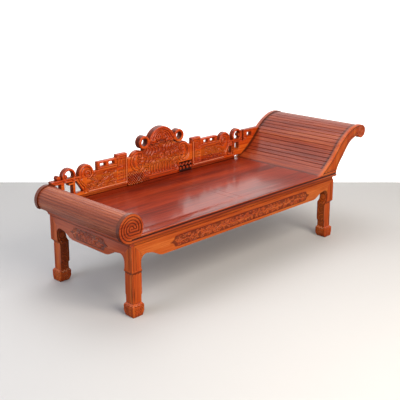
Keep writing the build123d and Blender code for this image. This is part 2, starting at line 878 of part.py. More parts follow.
# the lowest board starts where its outer face reaches the seat
first_length = slat_top / math.tan(math.radians(head_heading))
wrap_length = curve_length + scroll_radius * math.radians(scroll_wrap)
with BuildPart() as stile:
    with BuildSketch(facing_front(-half_depth)):
        add(stile_outline())
    extrude(amount=-stile_thickness)
    # tenon into the seat rail
    with BuildSketch(floor_plane(seat_height - tenon_length)):
        with Locations((head_start + stile_foot / 2, -(half_depth + stile_inner_y) / 2)):
            Rectangle(stile_foot / 2, tenon_thickness)
    extrude(amount=tenon_length)
    # housing for the ends of the slats
    with BuildSketch(facing_front(-stile_inner_y)):
        start = 0.0
        for radius, degrees in head_arcs + [(scroll_radius, -scroll_wrap - 12)]:
            length = radius * abs(math.radians(degrees))
            add(band_outline(start, start + length, slat_top - fit_gap, slat_bottom + fit_gap))
            start += length
    extrude(amount=slat_groove + fit_gap, mode=Mode.SUBTRACT)
    # carved eye of the scroll on the outer face
    with BuildSketch(facing_front(-half_depth)):
        add(volute((scroll_x, scroll_z), scroll_radius - 4, 1.75, 90.0, 20.0, 4.0, -1))
    extrude(amount=-relief, mode=Mode.SUBTRACT)
save(stile.part, "head_stile_front")
save(stile.part.mirror(Plane.XZ), "head_stile_back")


def slat(start, end):
    """One curved board across the headrest, cut level where it would enter the seat."""
    with BuildPart() as board:
        with BuildSketch(facing_front(-stile_inner_y - slat_groove)):
            add(band_outline(start, end, slat_top, slat_bottom))
            with Locations((head_start, seat_height / 2)):
                Rectangle(seat_length, seat_height, mode=Mode.SUBTRACT)
        extrude(amount=-2 * (stile_inner_y + slat_groove))
    return board.part


save(slat(first_length, first_length + base_board_width - slat_gap), "head_board_base")
slat_start = first_length + base_board_width
slat_count = int((wrap_length - slat_start) / slat_pitch)
for number in range(slat_count):
    start = slat_start + number * slat_pitch
    save(slat(start, start + slat_pitch - slat_gap), f"head_slat_{number + 1:02d}")

# back-up pieces between the stiles, behind the slats
with BuildPart() as scroll_core:
    with BuildSketch(facing_front(-stile_inner_y)):
        with Locations((scroll_x, scroll_z)):
            Circle(scroll_radius - slat_bottom - fit_gap)
    extrude(amount=-2 * stile_inner_y)
save(scroll_core.part, "head_scroll_core")


def stretcher(middle):
    """Straight bearer under the slats, tangent to their undersides."""
    with BuildPart() as bearer:
        with BuildSketch(facing_front(-stile_inner_y)):
            add(band_outline(
                middle - stretcher_width / 2,
                middle + stretcher_width / 2,
                slat_bottom + fit_gap,
                slat_bottom + fit_gap + stretcher_thickness,
            ))
        extrude(amount=-2 * stile_inner_y)
    return bearer.part


save(stretcher(0.32 * curve_length), "head_bearer_lower")
save(stretcher(0.68 * curve_length), "head_bearer_upper")

# ================================================================================
# Carved back: a centre board with crest and ring ears, and two pierced wings
# ================================================================================

lip = seat_height + plinth_height
joints = {-1: back_centre - centre_width / 2, 1: back_centre + centre_width / 2}
outer_end = roll_x + left_end               # of the left wing
left_reach = joints[-1] - outer_end
loop_reaches = {-1: left_reach - left_loop_reach, 1: right_loop_reach}
plinth_y = (back_front_y + plinth_setback + half_depth) / 2


def box_between(x0, x1, z0, z1, mode=Mode.ADD):
    """Plain rectangle between two corners, on the current sketch."""
    with Locations(((x0 + x1) / 2, (z0 + z1) / 2)):
        Rectangle(abs(x1 - x0), abs(z1 - z0), mode=mode)


def disc_at(x, z, radius, mode=Mode.ADD):
    """Plain circle on the current sketch."""
    with Locations((x, z)):
        Circle(radius, mode=mode)


def ring_at(x, z, outer, width):
    """Flat ring, `width` wide."""
    with BuildSketch(Plane.XY) as ring:
        disc_at(x, z, outer)
        disc_at(x, z, outer - width, Mode.SUBTRACT)
    return ring.sketch


with BuildPart() as centre_board:
    crest_z = seat_height + crest_top - crest_radius
    ring_z = seat_height + ring_rise
    cloud_z = seat_height + cloud_rise
    foot_start = centre_width / 2 - foot_length
    with BuildSketch(facing_front(back_front_y)):
        box_between(joints[-1], joints[1], lip, seat_height + 0.83 * joint_height)
        box_between(back_centre - ring_spread, back_centre + ring_spread, lip, ring_z - 20)
        disc_at(back_centre, crest_z, crest_radius)
        for side in (-1, 1):
            disc_at(back_centre + side * cloud_spread, cloud_z, cloud_radius)
            disc_at(back_centre + side * ring_spread, ring_z, ring_radius)
            box_between(
                back_centre + side * foot_start, joints[side], seat_height, lip
            )
        for side in (-1, 1):
            disc_at(back_centre + side * ring_spread, ring_z, ring_hole, Mode.SUBTRACT)
    extrude(amount=-back_thickness)
    # recessed plinth between the feet
    with BuildSketch(floor_plane(seat_height)):
        with Locations((back_centre, plinth_y)):
            Rectangle(centre_width, back_thickness - plinth_setback)
    extrude(amount=plinth_height)
    # the crest and the ring ears stand proud of the board, and have raised rims
    crest_y = half_depth - crest_thickness
    below_crest = (
        back_centre - crest_radius, back_centre + crest_radius,
        crest_z - crest_radius, seat_height + crest_base,
    )
    with BuildSketch(facing_front(crest_y)):
        disc_at(back_centre, crest_z, crest_radius)
        box_between(*below_crest, Mode.SUBTRACT)
        for side in (-1, 1):
            disc_at(back_centre + side * ring_spread, ring_z, ring_radius)
        for side in (-1, 1):
            disc_at(back_centre + side * ring_spread, ring_z, ring_hole, Mode.SUBTRACT)
    extrude(amount=-crest_thickness)
    with BuildSketch(facing_front(crest_y)):
        add(ring_at(back_centre, crest_z, crest_radius, rim_width))
        box_between(*below_crest, Mode.SUBTRACT)
        for side in (-1, 1):
            add(ring_at(back_centre + side * ring_spread, ring_z, ring_radius, rim_width))
    extrude(amount=relief)
    # raised carving: cloud volutes and the curled lip
    with BuildSketch(facing_front(back_front_y)):
        for side in (-1, 1):
            add(volute(
                (back_centre + side * cloud_spread, cloud_z),
                cloud_radius, 1.75, 90 - side * 30, cloud_radius / 2, rim_width, -side,
            ))
            add(volute(
                (back_centre + side * (foot_start - curl_radius), lip + curl_rise),
                curl_radius, 1.25, -90, curl_radius / 2, rim_width * 0.75, side,
            ))
        box_between(
            back_centre - foot_start + curl_radius, back_centre + foot_start - curl_radius,
            lip, lip + lip_width_up,
        )
    extrude(amount=relief)


def loop_hole(x, z, side):
    """Hole of the open loop: its own curled end and the bar below fill it in part."""
    hole_radius = loop_radius - bar
    with BuildSketch(Plane.XY) as hole:
        disc_at(x, z, hole_radius)
        disc_at(x + side * (hole_radius - loop_curl / 2), z, loop_curl, Mode.SUBTRACT)
        box_between(
            x - hole_radius, x + hole_radius, z - hole_radius, seat_height + bar_rise, Mode.SUBTRACT
        )
    return hole.sketch


def wing_outline(side, reach, openings):
    """Wing board seen from the front: `reach` runs outwards from the joint."""
    joint = joints[side]

    def block(t0, t1, low, high, mode=Mode.ADD):
        box_between(
            joint + side * t0, joint + side * t1, seat_height + low, seat_height + high, mode
        )

    loop_reach, loop_rise = loop_reaches[side], loop_rises[side]
    volute_reach, volute_rise = wing_volute_at[side]
    loop_x, loop_z = joint + side * loop_reach, seat_height + loop_rise
    with BuildSketch(Plane.XY) as outline:
        block(0, fret_width, plinth_height, joint_height)
        block(0, rail_reach[side], plinth_height, rail_top)
        block(0, volute_reach, plinth_height, volute_rise)
        block(0, reach, plinth_height, bar_rise)
        disc_at(joint + side * volute_reach, seat_height + volute_rise, wing_volute_radius)
        disc_at(loop_x, loop_z, loop_radius)
        add(loop_hole(loop_x, loop_z, side), mode=Mode.SUBTRACT)
        for t0, t1 in slot_spans[side]:
            block(
                t0, t1, rail_top - slot_cover - slot_height, rail_top - slot_cover, Mode.SUBTRACT
            )
        for opening in openings:
            block(*opening, Mode.SUBTRACT)
    return outline.sketch


def wing_carving(side):
    """Raised lines of a wing: its volute, loop rim, rail and square fret."""
    joint = joints[side]
    loop_reach, loop_rise = loop_reaches[side], loop_rises[side]
    volute_reach, volute_rise = wing_volute_at[side]
    with BuildSketch(Plane.XY) as lines:
        add(volute(
            (joint + side * volute_reach, seat_height + volute_rise),
            wing_volute_radius, 1.5, 90 + side * 60, wing_volute_radius / 2, rim_width, -side,
        ))
        add(ring_at(
            joint + side * loop_reach, seat_height + loop_rise, loop_radius, rim_width * 0.75
        ))
        line = rim_width * 0.75
        for inset in (line, 3 * line):
            x0, x1 = joint + side * inset, joint + side * (fret_width - inset)
            z0, z1 = lip + inset, seat_height + joint_height - inset
            box_between(x0, x0 + side * line, z0, z1)
            box_between(x0, x1, z1 - line, z1)
            box_between(x1 - side * line, x1, z1 - (z1 - z0) * 0.4, z1)
        box_between(joint + side * fret_width, joint + side * rail_reach[side], lip, lip + line)
    return lines.sketch


# the right wing ends along the headrest's curve, the left one above the roll
with BuildPart() as wing_right:
    wing_plane = facing_front(back_front_y)
    with BuildSketch(wing_plane):
        add(wing_outline(1, right_reach, right_openings))
        box_between(
            joints[1] + block_span[0], joints[1] + right_reach, lip, seat_height + block_rise
        )
        for t0, t1, low, high in block_openings:
            box_between(
                joints[1] + t0, joints[1] + t1, seat_height + low, seat_height + high,
                Mode.SUBTRACT,
            )
    extrude(amount=-back_thickness)
    with BuildSketch(floor_plane(seat_height)):
        with Locations(((joints[1] + head_start - plinth_height) / 2, plinth_y)):
            Rectangle(head_start - plinth_height - joints[1], back_thickness - plinth_setback)
    extrude(amount=plinth_height)
    with BuildSketch(wing_plane):
        add(wing_carving(1))
    extrude(amount=relief)
    # clear the stile
    with BuildSketch(facing_front(back_front_y - 2 * relief)):
        with BuildLine():
            length = 0.0
            for radius, degrees in head_arcs:
                step = radius * abs(math.radians(degrees))
                points = [curve_point(length + share * step, -fit_gap)[:2] for share in (0, 0.5, 1)]
                ThreePointArc(*points)
                length += step
            start, end = curve_point(0, -fit_gap)[:2], curve_point(length, -fit_gap)[:2]
            Polyline(end, (end[0], lip), (end[0], start[1] - 1), (start[0], start[1] - 1), start)
        make_face()
    extrude(amount=-2 * back_thickness, mode=Mode.SUBTRACT)

with BuildPart() as wing_left:
    with BuildSketch(facing_front(back_front_y)):
        add(wing_outline(-1, left_reach, [
            (left_reach - first, left_reach - last, low, high)
            for first, last, low, high in left_openings
        ]))
        disc_at(outer_end + end_scroll_at[0], seat_height + end_scroll_at[1], end_scroll)
        box_between(
            outer_end + left_hook[0], outer_end + left_hook[1],
            seat_height + left_hook[2], seat_height + left_hook[3],
        )
        haunch = [(outer_end + inward, seat_height + rise) for inward, rise in left_haunch]
        with BuildLine():
            ThreePointArc(*haunch)
            Polyline(haunch[2], (haunch[2][0], haunch[0][1]), haunch[0])
        make_face()
    extrude(amount=-back_thickness)
    with BuildSketch(floor_plane(seat_height)):
        with Locations(((joints[-1] + roll_x) / 2, plinth_y)):
            Rectangle(joints[-1] - roll_x, back_thickness - plinth_setback)
    extrude(amount=plinth_height)
    with BuildSketch(facing_front(back_front_y)):
        add(wing_carving(-1))
    extrude(amount=relief)
    with BuildSketch(facing_front(back_front_y - 2 * relief)):
        disc_at(roll_x, roll_z, disc_seat)
    extrude(amount=-2 * back_thickness, mode=Mode.SUBTRACT)

# loose dowels across the two joints, and tenons that stand the boards on the rail
dowel_places = [
    (joints[side], seat_height + share * joint_height) for side in (-1, 1) for share in (0.3, 0.7)
]
dowel_y = (back_front_y + half_depth) / 2


def dowel_rods(radius, length):
    """Rods along the bed at every dowel place."""
    with BuildPart() as rods:
        for x, z in dowel_places:
            with BuildSketch(facing_side(x - length / 2)):
                with Locations((dowel_y, z)):
                    Circle(radius)
            extrude(amount=length)
    return rods.part


tenon_places = {
    "back_centre_board": [back_centre - ring_spread, back_centre + ring_spread],
    "back_wing_left": [joints[-1] - fret_width, joints[-1] - rail_reach[-1]],
    "back_wing_right": [joints[1] + fret_width, joints[1] + rail_reach[1]],
}


def board_tenons(places, length, thickness, depth):
    """Blocks that reach down from the seat's top at the given places along the back."""
    with BuildPart() as blocks:
        with BuildSketch(floor_plane(seat_height - depth)):
            for place in places:
                with Locations((place, plinth_y)):
                    Rectangle(length, thickness)
        extrude(amount=depth)
    return blocks.part


boards = {
    "back_centre_board": centre_board,
    "back_wing_left": wing_left,
    "back_wing_right": wing_right,
}
dowel_holes = dowel_rods(dowel_radius + fit_gap, dowel_length + 2 * fit_gap)
for name, board in boards.items():
    with BuildPart() as finished:
        add(board.part)
        add(board_tenons(tenon_places[name], batten_width, tenon_thickness, tenon_length))
        add(dowel_holes, mode=Mode.SUBTRACT)
    save(finished.part, name)
save(dowel_rods(dowel_radius, dowel_length), "back_dowels")

with BuildPart() as rail_back:
    add(rail_front.part.mirror(Plane.XZ))
    for places in tenon_places.values():
        add(
            board_tenons(
                places,
                batten_width + 2 * fit_gap,
                tenon_thickness + 2 * fit_gap,
                tenon_length + fit_gap,
            ),
            mode=Mode.SUBTRACT,
        )
save(rail_back.part, "rail_back")
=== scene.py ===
# %% [markdown]
# # A rosewood daybed with a carved back
# The real thing is a low Chinese daybed: a waisted bed on four legs, a reeded roll at one end,
# a slatted headrest that curves up to a scroll at the other, and three carved boards behind.
# All of it is one red-orange rosewood under gloss lacquer, so the looks come from three things:
# the carving, the small rounded edges that catch the light, and the grain under the lacquer.
# This lesson dresses the plain solids one kind of piece at a time.

# %% load the solids
import math

import bmesh
import bpy
import numpy as np
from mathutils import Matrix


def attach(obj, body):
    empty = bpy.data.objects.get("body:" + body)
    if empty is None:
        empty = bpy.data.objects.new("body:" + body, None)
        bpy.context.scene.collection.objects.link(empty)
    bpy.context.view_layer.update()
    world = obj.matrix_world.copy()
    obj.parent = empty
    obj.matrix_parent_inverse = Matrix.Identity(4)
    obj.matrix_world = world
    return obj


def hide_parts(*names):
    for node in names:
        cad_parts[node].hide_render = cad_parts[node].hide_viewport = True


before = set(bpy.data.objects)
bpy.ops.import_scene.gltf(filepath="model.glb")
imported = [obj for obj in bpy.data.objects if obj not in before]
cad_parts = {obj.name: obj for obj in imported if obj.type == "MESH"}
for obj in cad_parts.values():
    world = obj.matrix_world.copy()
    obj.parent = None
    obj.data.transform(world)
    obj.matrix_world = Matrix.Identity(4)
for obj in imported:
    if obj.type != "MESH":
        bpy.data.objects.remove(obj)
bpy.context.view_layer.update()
MM = 0.001               # the scene is in metres, and this script mostly thinks in millimetres

# %% [markdown]
# ## The camera
# A person stands about four metres off the left front corner and looks a little down. A longish
# lens keeps the far end from shrinking too much, and a small shift drops the daybed in the frame.

# %% camera
LOOKS_DOWN = 14.56       # degrees below level
LOOKS_RIGHT = 45.22      # degrees from +Y towards +X
camera_data = bpy.data.cameras.new("camera")
camera = bpy.data.objects.new("camera", camera_data)
bpy.context.scene.collection.objects.link(camera)
bpy.context.scene.camera = camera
camera_data.sensor_width = 36.0
camera_data.lens = 66.42
camera_data.shift_y = -0.1
camera.location = (-3.1010, -2.9390, 1.6850)
camera.rotation_euler = (math.radians(90 - LOOKS_DOWN), 0.0, -math.radians(LOOKS_RIGHT))
print("camera at", [round(v, 2) for v in camera.location])

# %% [markdown]
# ## Helpers for materials
# Screens mix colours in sRGB and the renderer counts light, so hex colours are turned to linear
# once, here. The other helper adds one shader node with its settings and its links.

# %% helpers for materials
def linear(code):
    """Hex sRGB colour to linear RGBA: below 0.04045 divide by 12.92, above it take a 2.4 power."""
    srgb = np.array([int(code[i:i + 2], 16) / 255 for i in (1, 3, 5)])
    light = np.where(srgb <= 0.04045, srgb / 12.92, ((srgb + 0.055) / 1.055) ** 2.4)
    return (*light.tolist(), 1.0)


def add_node(tree, kind, links=None, **settings):
    """Add a node; `settings` are its own properties, `links` feed inputs a value or a socket."""
    node = tree.nodes.new(kind)
    for key, value in settings.items():
        setattr(node, key, value)
    for key, value in (links or {}).items():
        socket = node.inputs[key]
        if isinstance(value, bpy.types.NodeSocket):
            tree.links.new(value, socket)
        else:
            socket.default_value = value
    return node


print("half grey on the screen is", round(linear("#808080")[0], 3), "of white in light")

# %% [markdown]
# ## The grain of rosewood
# Rosewood is heavy and close-grained. Three patterns make it: broad tongues of darker heartwood,
# streaks a few millimetres wide, and fine dark pores. All are noise that is squeezed across the
# grain and drawn out along it, on Object coordinates, so the grain runs through a piece as it
# does through a plank.

# %% grain
GRAIN_TURN = {"x": (0, 0, 0), "y": (0, 0, math.pi / 2), "z": (0, math.pi / 2, 0)}
# Cells per metre along the grain and across it, then the detail. The tongues are 1100 by 90 mm,
# the streaks 250 by 9 mm and the pores 60 by 2 mm; real pores are finer, but these have to show.
PATTERNS = ((0.9, 11.0, 3.0), (4.0, 110.0, 4.0), (16.0, 520.0, 2.0))


def grain_patterns(tree, grain):
    """Noise sockets of the tongues, the streaks and the pores, with the grain along an axis."""
    place = add_node(tree, "ShaderNodeTexCoord").outputs["Object"]
    turned = add_node(tree, "ShaderNodeMapping", {"Vector": place, "Rotation": GRAIN_TURN[grain]})
    noises = []
    for along, across, detail in PATTERNS:
        stretched = add_node(tree, "ShaderNodeMapping", {
            "Vector": turned.outputs["Vector"], "Scale": (along, across, across)})
        noises.append(add_node(tree, "ShaderNodeTexNoise", {
            "Vector": stretched.outputs["Vector"], "Scale": 1.0, "Detail": detail,
            "Roughness": 0.55, "Distortion": 0.6}).outputs["Fac"])
    return noises


def grain_colour(tree, noises, dark, body, pale):
    """Colour of bare wood: 0.55 of the tongues and 0.45 of the streaks run a ramp of three tones,
    and the pores cut into it in the darkest one."""
    tongues, streaks, pores = noises
    mixed = add_node(tree, "ShaderNodeMath", {0: tongues, 1: 0.55}, operation="MULTIPLY")
    both = add_node(tree, "ShaderNodeMath", {0: streaks, 1: 0.45, 2: mixed.outputs[0]},
                    operation="MULTIPLY_ADD")
    ramp = add_node(tree, "ShaderNodeValToRGB", {"Fac": both.outputs[0]})
    stops = ramp.color_ramp.elements
    stops[0].position, stops[0].color = 0.36, linear(dark)
    stops[1].position, stops[1].color = 0.64, linear(pale)
    middle = stops.new(0.50)
    middle.color = linear(body)
    clear_of_pores = add_node(tree, "ShaderNodeMapRange", {
        "Value": pores, "From Min": 0.32, "From Max": 0.48, "To Min": 0.5, "To Max": 1.0})
    return add_node(tree, "ShaderNodeMix", {
        "Factor": clear_of_pores.outputs["Result"], "A": linear(dark),
        "B": ramp.outputs["Color"]}, data_type="RGBA").outputs[2]


print("grain patterns:", len(PATTERNS))

# %% [markdown]
# ## Lacquer, painted shade and painted highlights
# Shade is painted into the hollows of carving, and pale highlights onto its ridges.
# Every wood paints its crevices dark as shade by how little open sky a point sees. Carved woods
# also read an attribute of painted shade and highlight: from 0 to 1 it paints shade, and below 0 it
# paints a pale highlight. Lacquer is a clear coat: sharp in its reflections, while the wood below
# stays soft.

# %% the rosewood material
# colours of the painted shade in crevices and of the painted highlights on ridges
PAINTED_SHADE_COLOUR, PAINTED_HIGHLIGHT_COLOUR = "#300803", "#f2ae84"
CREVICE = 14 * MM        # how far a point looks round for open sky
PORE_DEPTH = 0.4 * MM


def rosewood(name, grain, dark, body, pale, coat=0.5, gloss=0.18, carved=False, coat_ior=1.5):
    """Lacquered rosewood: three hex tones, the axis that its grain follows, and its gloss."""
    material = bpy.data.materials.new(name)
    material.use_nodes = True
    tree = material.node_tree
    tree.nodes.clear()
    noises = grain_patterns(tree, grain)
    colour = grain_colour(tree, noises, dark, body, pale)
    # painted shade: a point that sees 0.85 of its sky is unshaded, and one that sees a quarter is
    # painted nearly black
    sky = add_node(tree, "ShaderNodeAmbientOcclusion", {"Distance": CREVICE}, samples=6)
    painted_shade = add_node(tree, "ShaderNodeMapRange", {
        "Value": sky.outputs["AO"], "From Min": 0.25, "From Max": 0.85,
        "To Min": 0.85, "To Max": 0.0}).outputs["Result"]
    # carved woods add the painted shade and highlight stored on their points
    if carved:
        shade_and_highlight = add_node(tree, "ShaderNodeAttribute", attribute_name="shade_and_highlight").outputs["Fac"]
        painted_shade = add_node(tree, "ShaderNodeMath", {0: shade_and_highlight, 1: painted_shade},
                         operation="MAXIMUM").outputs[0]
    colour = add_node(tree, "ShaderNodeMix", {
        "Factor": painted_shade, "A": colour, "B": linear(PAINTED_SHADE_COLOUR)}, data_type="RGBA").outputs[2]
    # painted highlight: values below 0 paint the wood pale
    if carved:
        highlighted = add_node(tree, "ShaderNodeMapRange", {
            "Value": shade_and_highlight, "From Min": 0.0, "From Max": -1.0})
        colour = add_node(tree, "ShaderNodeMix", {
            "Factor": highlighted.outputs["Result"], "A": colour, "B": linear(PAINTED_HIGHLIGHT_COLOUR)},
            data_type="RGBA").outputs[2]
    bump = add_node(tree, "ShaderNodeBump", {
        "Height": noises[2], "Strength": 0.12, "Distance": PORE_DEPTH})
    finish = add_node(tree, "ShaderNodeBsdfPrincipled", {
        "Base Color": colour, "Normal": bump.outputs["Normal"]})
    for socket, value in (("Roughness", 0.5), ("IOR", 1.45), ("Specular IOR Level", 0.2),
                          ("Coat Weight", coat), ("Coat Roughness", gloss),
                          ("Coat IOR", coat_ior)):
        finish.inputs[socket].default_value = value
    output = add_node(tree, "ShaderNodeOutputMaterial", {"Surface": finish.outputs["BSDF"]})
    output.is_active_output = True
    return material


# the colours of the painted shade and of the painted highlight
print("stain in the hollows:", PAINTED_SHADE_COLOUR, "and on rubbed ridges:", PAINTED_HIGHLIGHT_COLOUR)

# %% [markdown]
# ## Nine cuts of one wood
# One lacquered rosewood looks different on each piece, by how it was cut and how it was worked.

# %% the woods
# aprons and boards along the bed are planed, and give the warmest orange
wood_x = rosewood("lacquered_rosewood_long", "x", "#ad4010", "#d2601c", "#e67e36")
# the same across the bed, cut redder, with painted shade where it meets a neighbour
wood_y = rosewood("lacquered_rosewood_cross", "y", "#a23c20", "#c25228", "#d86a36", carved=True)
# the seat is sanded flat and polished: a deep red that mirrors what stands behind it
wood_seat = rosewood("polished_rosewood_seat", "x", "#5e1001", "#8c2302", "#a83406",
                     coat=0.62, gloss=0.14, coat_ior=1.55)
# reeds and slats are scraped to shape, so they are browner and take a thinner coat
wood_reed = rosewood("lacquered_rosewood_reeds", "y", "#742812", "#a44a28", "#c26a40", coat=0.4,
                     carved=True)
wood_slat = rosewood("lacquered_rosewood_slats", "y", "#69200b", "#943410", "#b05222", coat=0.4,
                     carved=True)
# hidden wood gets one satin coat, which stays dark and dull
wood_under = rosewood("satin_rosewood_hidden", "x", "#4a130a", "#702212", "#8a331d", coat=0.2,
                      gloss=0.3)
# carving is cut from the reddest heartwood and shows every tool mark in the gloss
wood_carved = rosewood("carved_rosewood", "x", "#a82c04", "#d44c0a", "#ec7620", carved=True)
# mouldings are planed with a shaped iron: calm wood, with painted shade in the grooves
wood_rail = rosewood("moulded_rosewood_rails", "x", "#983208", "#c04a16", "#d66828", carved=True)
# posts and side frames stand upright, and so does their grain
wood_post = rosewood("carved_rosewood_posts", "z", "#a8380a", "#cf5414", "#e37228", carved=True)
print("woods:", sum("rosewood" in material.name for material in bpy.data.materials))

# %% [markdown]
# ## Helpers for pieces
# Every piece starts from the points of a solid and ends as an object that rides on the frame and
# stands for the solids it replaces. Painted shade and highlight are stored on the points, for the
# carved woods to read.

# %% helpers for pieces
WELD = 2e-6              # metres: a solid's loose triangles meet well within this


def points_in_mm(mesh):
    """The points of a mesh as one array, (count, 3), in millimetres."""
    flat = np.empty(len(mesh.vertices) * 3)
    mesh.vertices.foreach_get("co", flat)
    return flat.reshape(-1, 3) / MM


def set_shade_and_highlight(mesh, values):
    """Store painted shade and highlight on the points: 1 is full painted shade, 0 is plain
    wood, below 0 is a painted pale highlight.
    """
    mesh.attributes.new("shade_and_highlight", "FLOAT", "POINT").data.foreach_set(
        "value", np.asarray(values, np.float32))


def shade_smooth(mesh, sharp):
    """Smooth shading, with a crease where two faces meet at more than `sharp` degrees."""
    mesh.polygons.foreach_set("use_smooth", np.ones(len(mesh.polygons), bool))
    if sharp:
        mesh.set_sharp_from_angle(angle=math.radians(sharp))


def add_piece(name, mesh, nodes):
    """Put a finished mesh in the scene, hung from the root, in the place of `nodes`, which are
    hidden.
    """
    piece = bpy.data.objects.new(name, mesh)
    bpy.context.scene.collection.objects.link(piece)
    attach(piece, "root")
    for node in nodes:
        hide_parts(node)
    return piece


# %% [markdown]
# ## Joinery pieces
# Rails, slats and panels are straight machine-cut pieces whose solids are already right. Real
# ones have their sharp edges eased with sandpaper. A copy of the solid is welded, its flat
# triangles are merged back into whole faces, and a Bevel modifier rounds the edges.

# %% where shade is painted
# painted shade by a neighbour, both ways from the middle: the axis, where it starts, how far it
# fades in
SHADE_AGAINST_NEIGHBOUR = {"head_slat": (1, 308.0, 13.0), "head_board_base": (2, 438.0, -5.0),
           "apron_left": (2, 374.0, 4.0), "apron_right": (2, 374.0, 4.0)}
# painted shade in the grooves of one face: its axis and level, the shade in the grooves, the shade
# behind them
MOULDED = {"rail_front": (1, -360, 1.0, 0.0), "rail_back": (1, 360, 1.0, 0.0),
           "roll_disc_front": (1, -360, 0.7, 0.75), "roll_disc_back": (1, 360, 0.7, 0.75)}
RAIL_TOP = 427.5         # above this a rail has no grooves
FULLEST = 0.65           # painted shade against a neighbour, where it is darkest


def ring_points(shape, axis, level, fade):
    """Cut rings of points where the painted shade starts and where it is full, on both sides of
    zero.
    """
    for height in (level, level + fade, -level, -level - fade):
        bmesh.ops.bisect_plane(
            shape, geom=[*shape.verts, *shape.edges, *shape.faces],
            plane_co=np.eye(3)[axis] * height * MM, plane_no=np.eye(3)[axis])


def groove_shade(node, at):
    """Painted shade of a moulded face: it grows over 3 mm of depth, and 4 mm down the face ends."""
    axis, level, groove, behind = MOULDED[node]
    depth = abs(level) - math.copysign(1, level) * at[:, axis]
    sunk = np.where(depth < 4, groove * np.clip(depth / 3, 0, 1), behind)
    if node.startswith("rail"):
        sunk[at[:, 2] > RAIL_TOP] = 0.0
    return sunk


# pieces with painted shade by a neighbour or in their grooves
print("stained by rule:", len(SHADE_AGAINST_NEIGHBOUR) + len(MOULDED))

# %% eased copies of the plain solids
# degrees between two faces: up to the first they are one, past the second the shading shows an
# edge between them, and past the third that edge is rounded
FLAT, CREASE, CORNER = 0.6, 32, 40


def welded_copy(node, rule):
    """Copy of a solid with its points merged and its flat triangles dissolved into faces."""
    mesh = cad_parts[node].data.copy()
    mesh.name = "eased_" + node
    shape = bmesh.new()
    shape.from_mesh(mesh)
    bmesh.ops.remove_doubles(shape, verts=shape.verts, dist=WELD)
    bmesh.ops.dissolve_limit(
        shape, angle_limit=math.radians(FLAT), verts=shape.verts, edges=shape.edges)
    if rule:
        ring_points(shape, *rule)
    shape.to_mesh(mesh)
    shape.free()
    return mesh


def ease(node, material, width, turns, top):
    """Replace a solid by a welded copy with edges rounded by `width` mm; `top` is the wood of
    the faces that look straight up, where it differs."""
    rule = next((rule for start, rule in SHADE_AGAINST_NEIGHBOUR.items() if node.startswith(start)), None)
    mesh = welded_copy(node, rule)
    shade_smooth(mesh, CREASE)
    at = points_in_mm(mesh)
    # painted shade by a neighbour and in the grooves of moulded faces
    if rule:
        axis, level, fade = rule
        set_shade_and_highlight(mesh, np.clip((abs(at[:, axis]) - level) / fade, 0, FULLEST))
    if node in MOULDED:
        set_shade_and_highlight(mesh, groove_shade(node, at))
    mesh.materials.clear()
    mesh.materials.append(material)
    if top:
        mesh.materials.append(top)
        normals = np.empty(len(mesh.polygons) * 3)
        mesh.polygons.foreach_get("normal", normals)
        mesh.polygons.foreach_set("material_index", (normals[2::3] > 0.99).astype(np.int32))
    piece = add_piece("eased_" + node, mesh, [node])
    bevel = piece.modifiers.new("eased edges", "BEVEL")
    bevel.width = width * MM
    bevel.segments = turns
    bevel.limit_method = "ANGLE"
    bevel.angle_limit = math.radians(CORNER)


print("triangles in the front rail's solid:", len(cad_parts["rail_front"].data.polygons))

# %% [markdown]
# A joiner picks the cut of wood by what a piece does. The carved pieces are left out here, since
# they get a mesh of their own below, and so are the hidden ones, which nobody sanded.

# %% wood for every solid
def wood_for(node):
    """The wood of a node, by what it is and which way its grain runs."""
    if node.startswith(("seat_panel", "seat_muntin")):
        return wood_seat
    if node.startswith(("rail_front", "rail_back", "roll_disc")):
        return wood_rail
    if node in ("apron_front", "apron_back", "waist_front", "waist_back"):
        return wood_x
    if node.startswith(("leg", "head_stile")):
        return wood_post
    if node.startswith("head_slat") or node == "head_board_base":
        return wood_slat
    if node == "roll_staves":
        return wood_reed
    if node.startswith(("batten", "roll_formers", "back_dowels", "head_")):
        return wood_under
    if node.startswith("back_"):
        return wood_x
    return wood_y


CARVED = ("back_centre_board", "back_wing_left", "back_wing_right",
          "leg_front_left", "leg_front_right", "leg_back_left", "leg_back_right",
          "head_stile_front", "head_stile_back")
HIDDEN = ("back_dowels", "roll_formers", "head_scroll_core")
EASED = 1.2              # mm: what sandpaper takes off an edge
# edges that hands and cloth have worn rounder than that
ROUNDER = {"head_slat": 2.8, "roll_staves": 2.2, "apron": 2.4, "roll_disc": 1.7}
for node in sorted(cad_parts):
    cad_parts[node].data.materials.clear()
    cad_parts[node].data.materials.append(wood_for(node))
    if node in CARVED or node in HIDDEN:
        continue
    width = next((w for start, w in ROUNDER.items() if node.startswith(start)), EASED)
    top = wood_seat if node.startswith("rail") else None
    ease(node, wood_for(node), width, 3 if width > 2 else 2, top)

# %% [markdown]
# ## Carved boards as height fields
# A carved board is a flat outline with a height at every point. The outline comes from a flat
# face of the solid. A triangle grid covers it, and triangles that cross the outline are clipped
# there. Walls and a flat back close the shell. The helpers below work in millimetres: first
# distances to the outline, then the clipping.

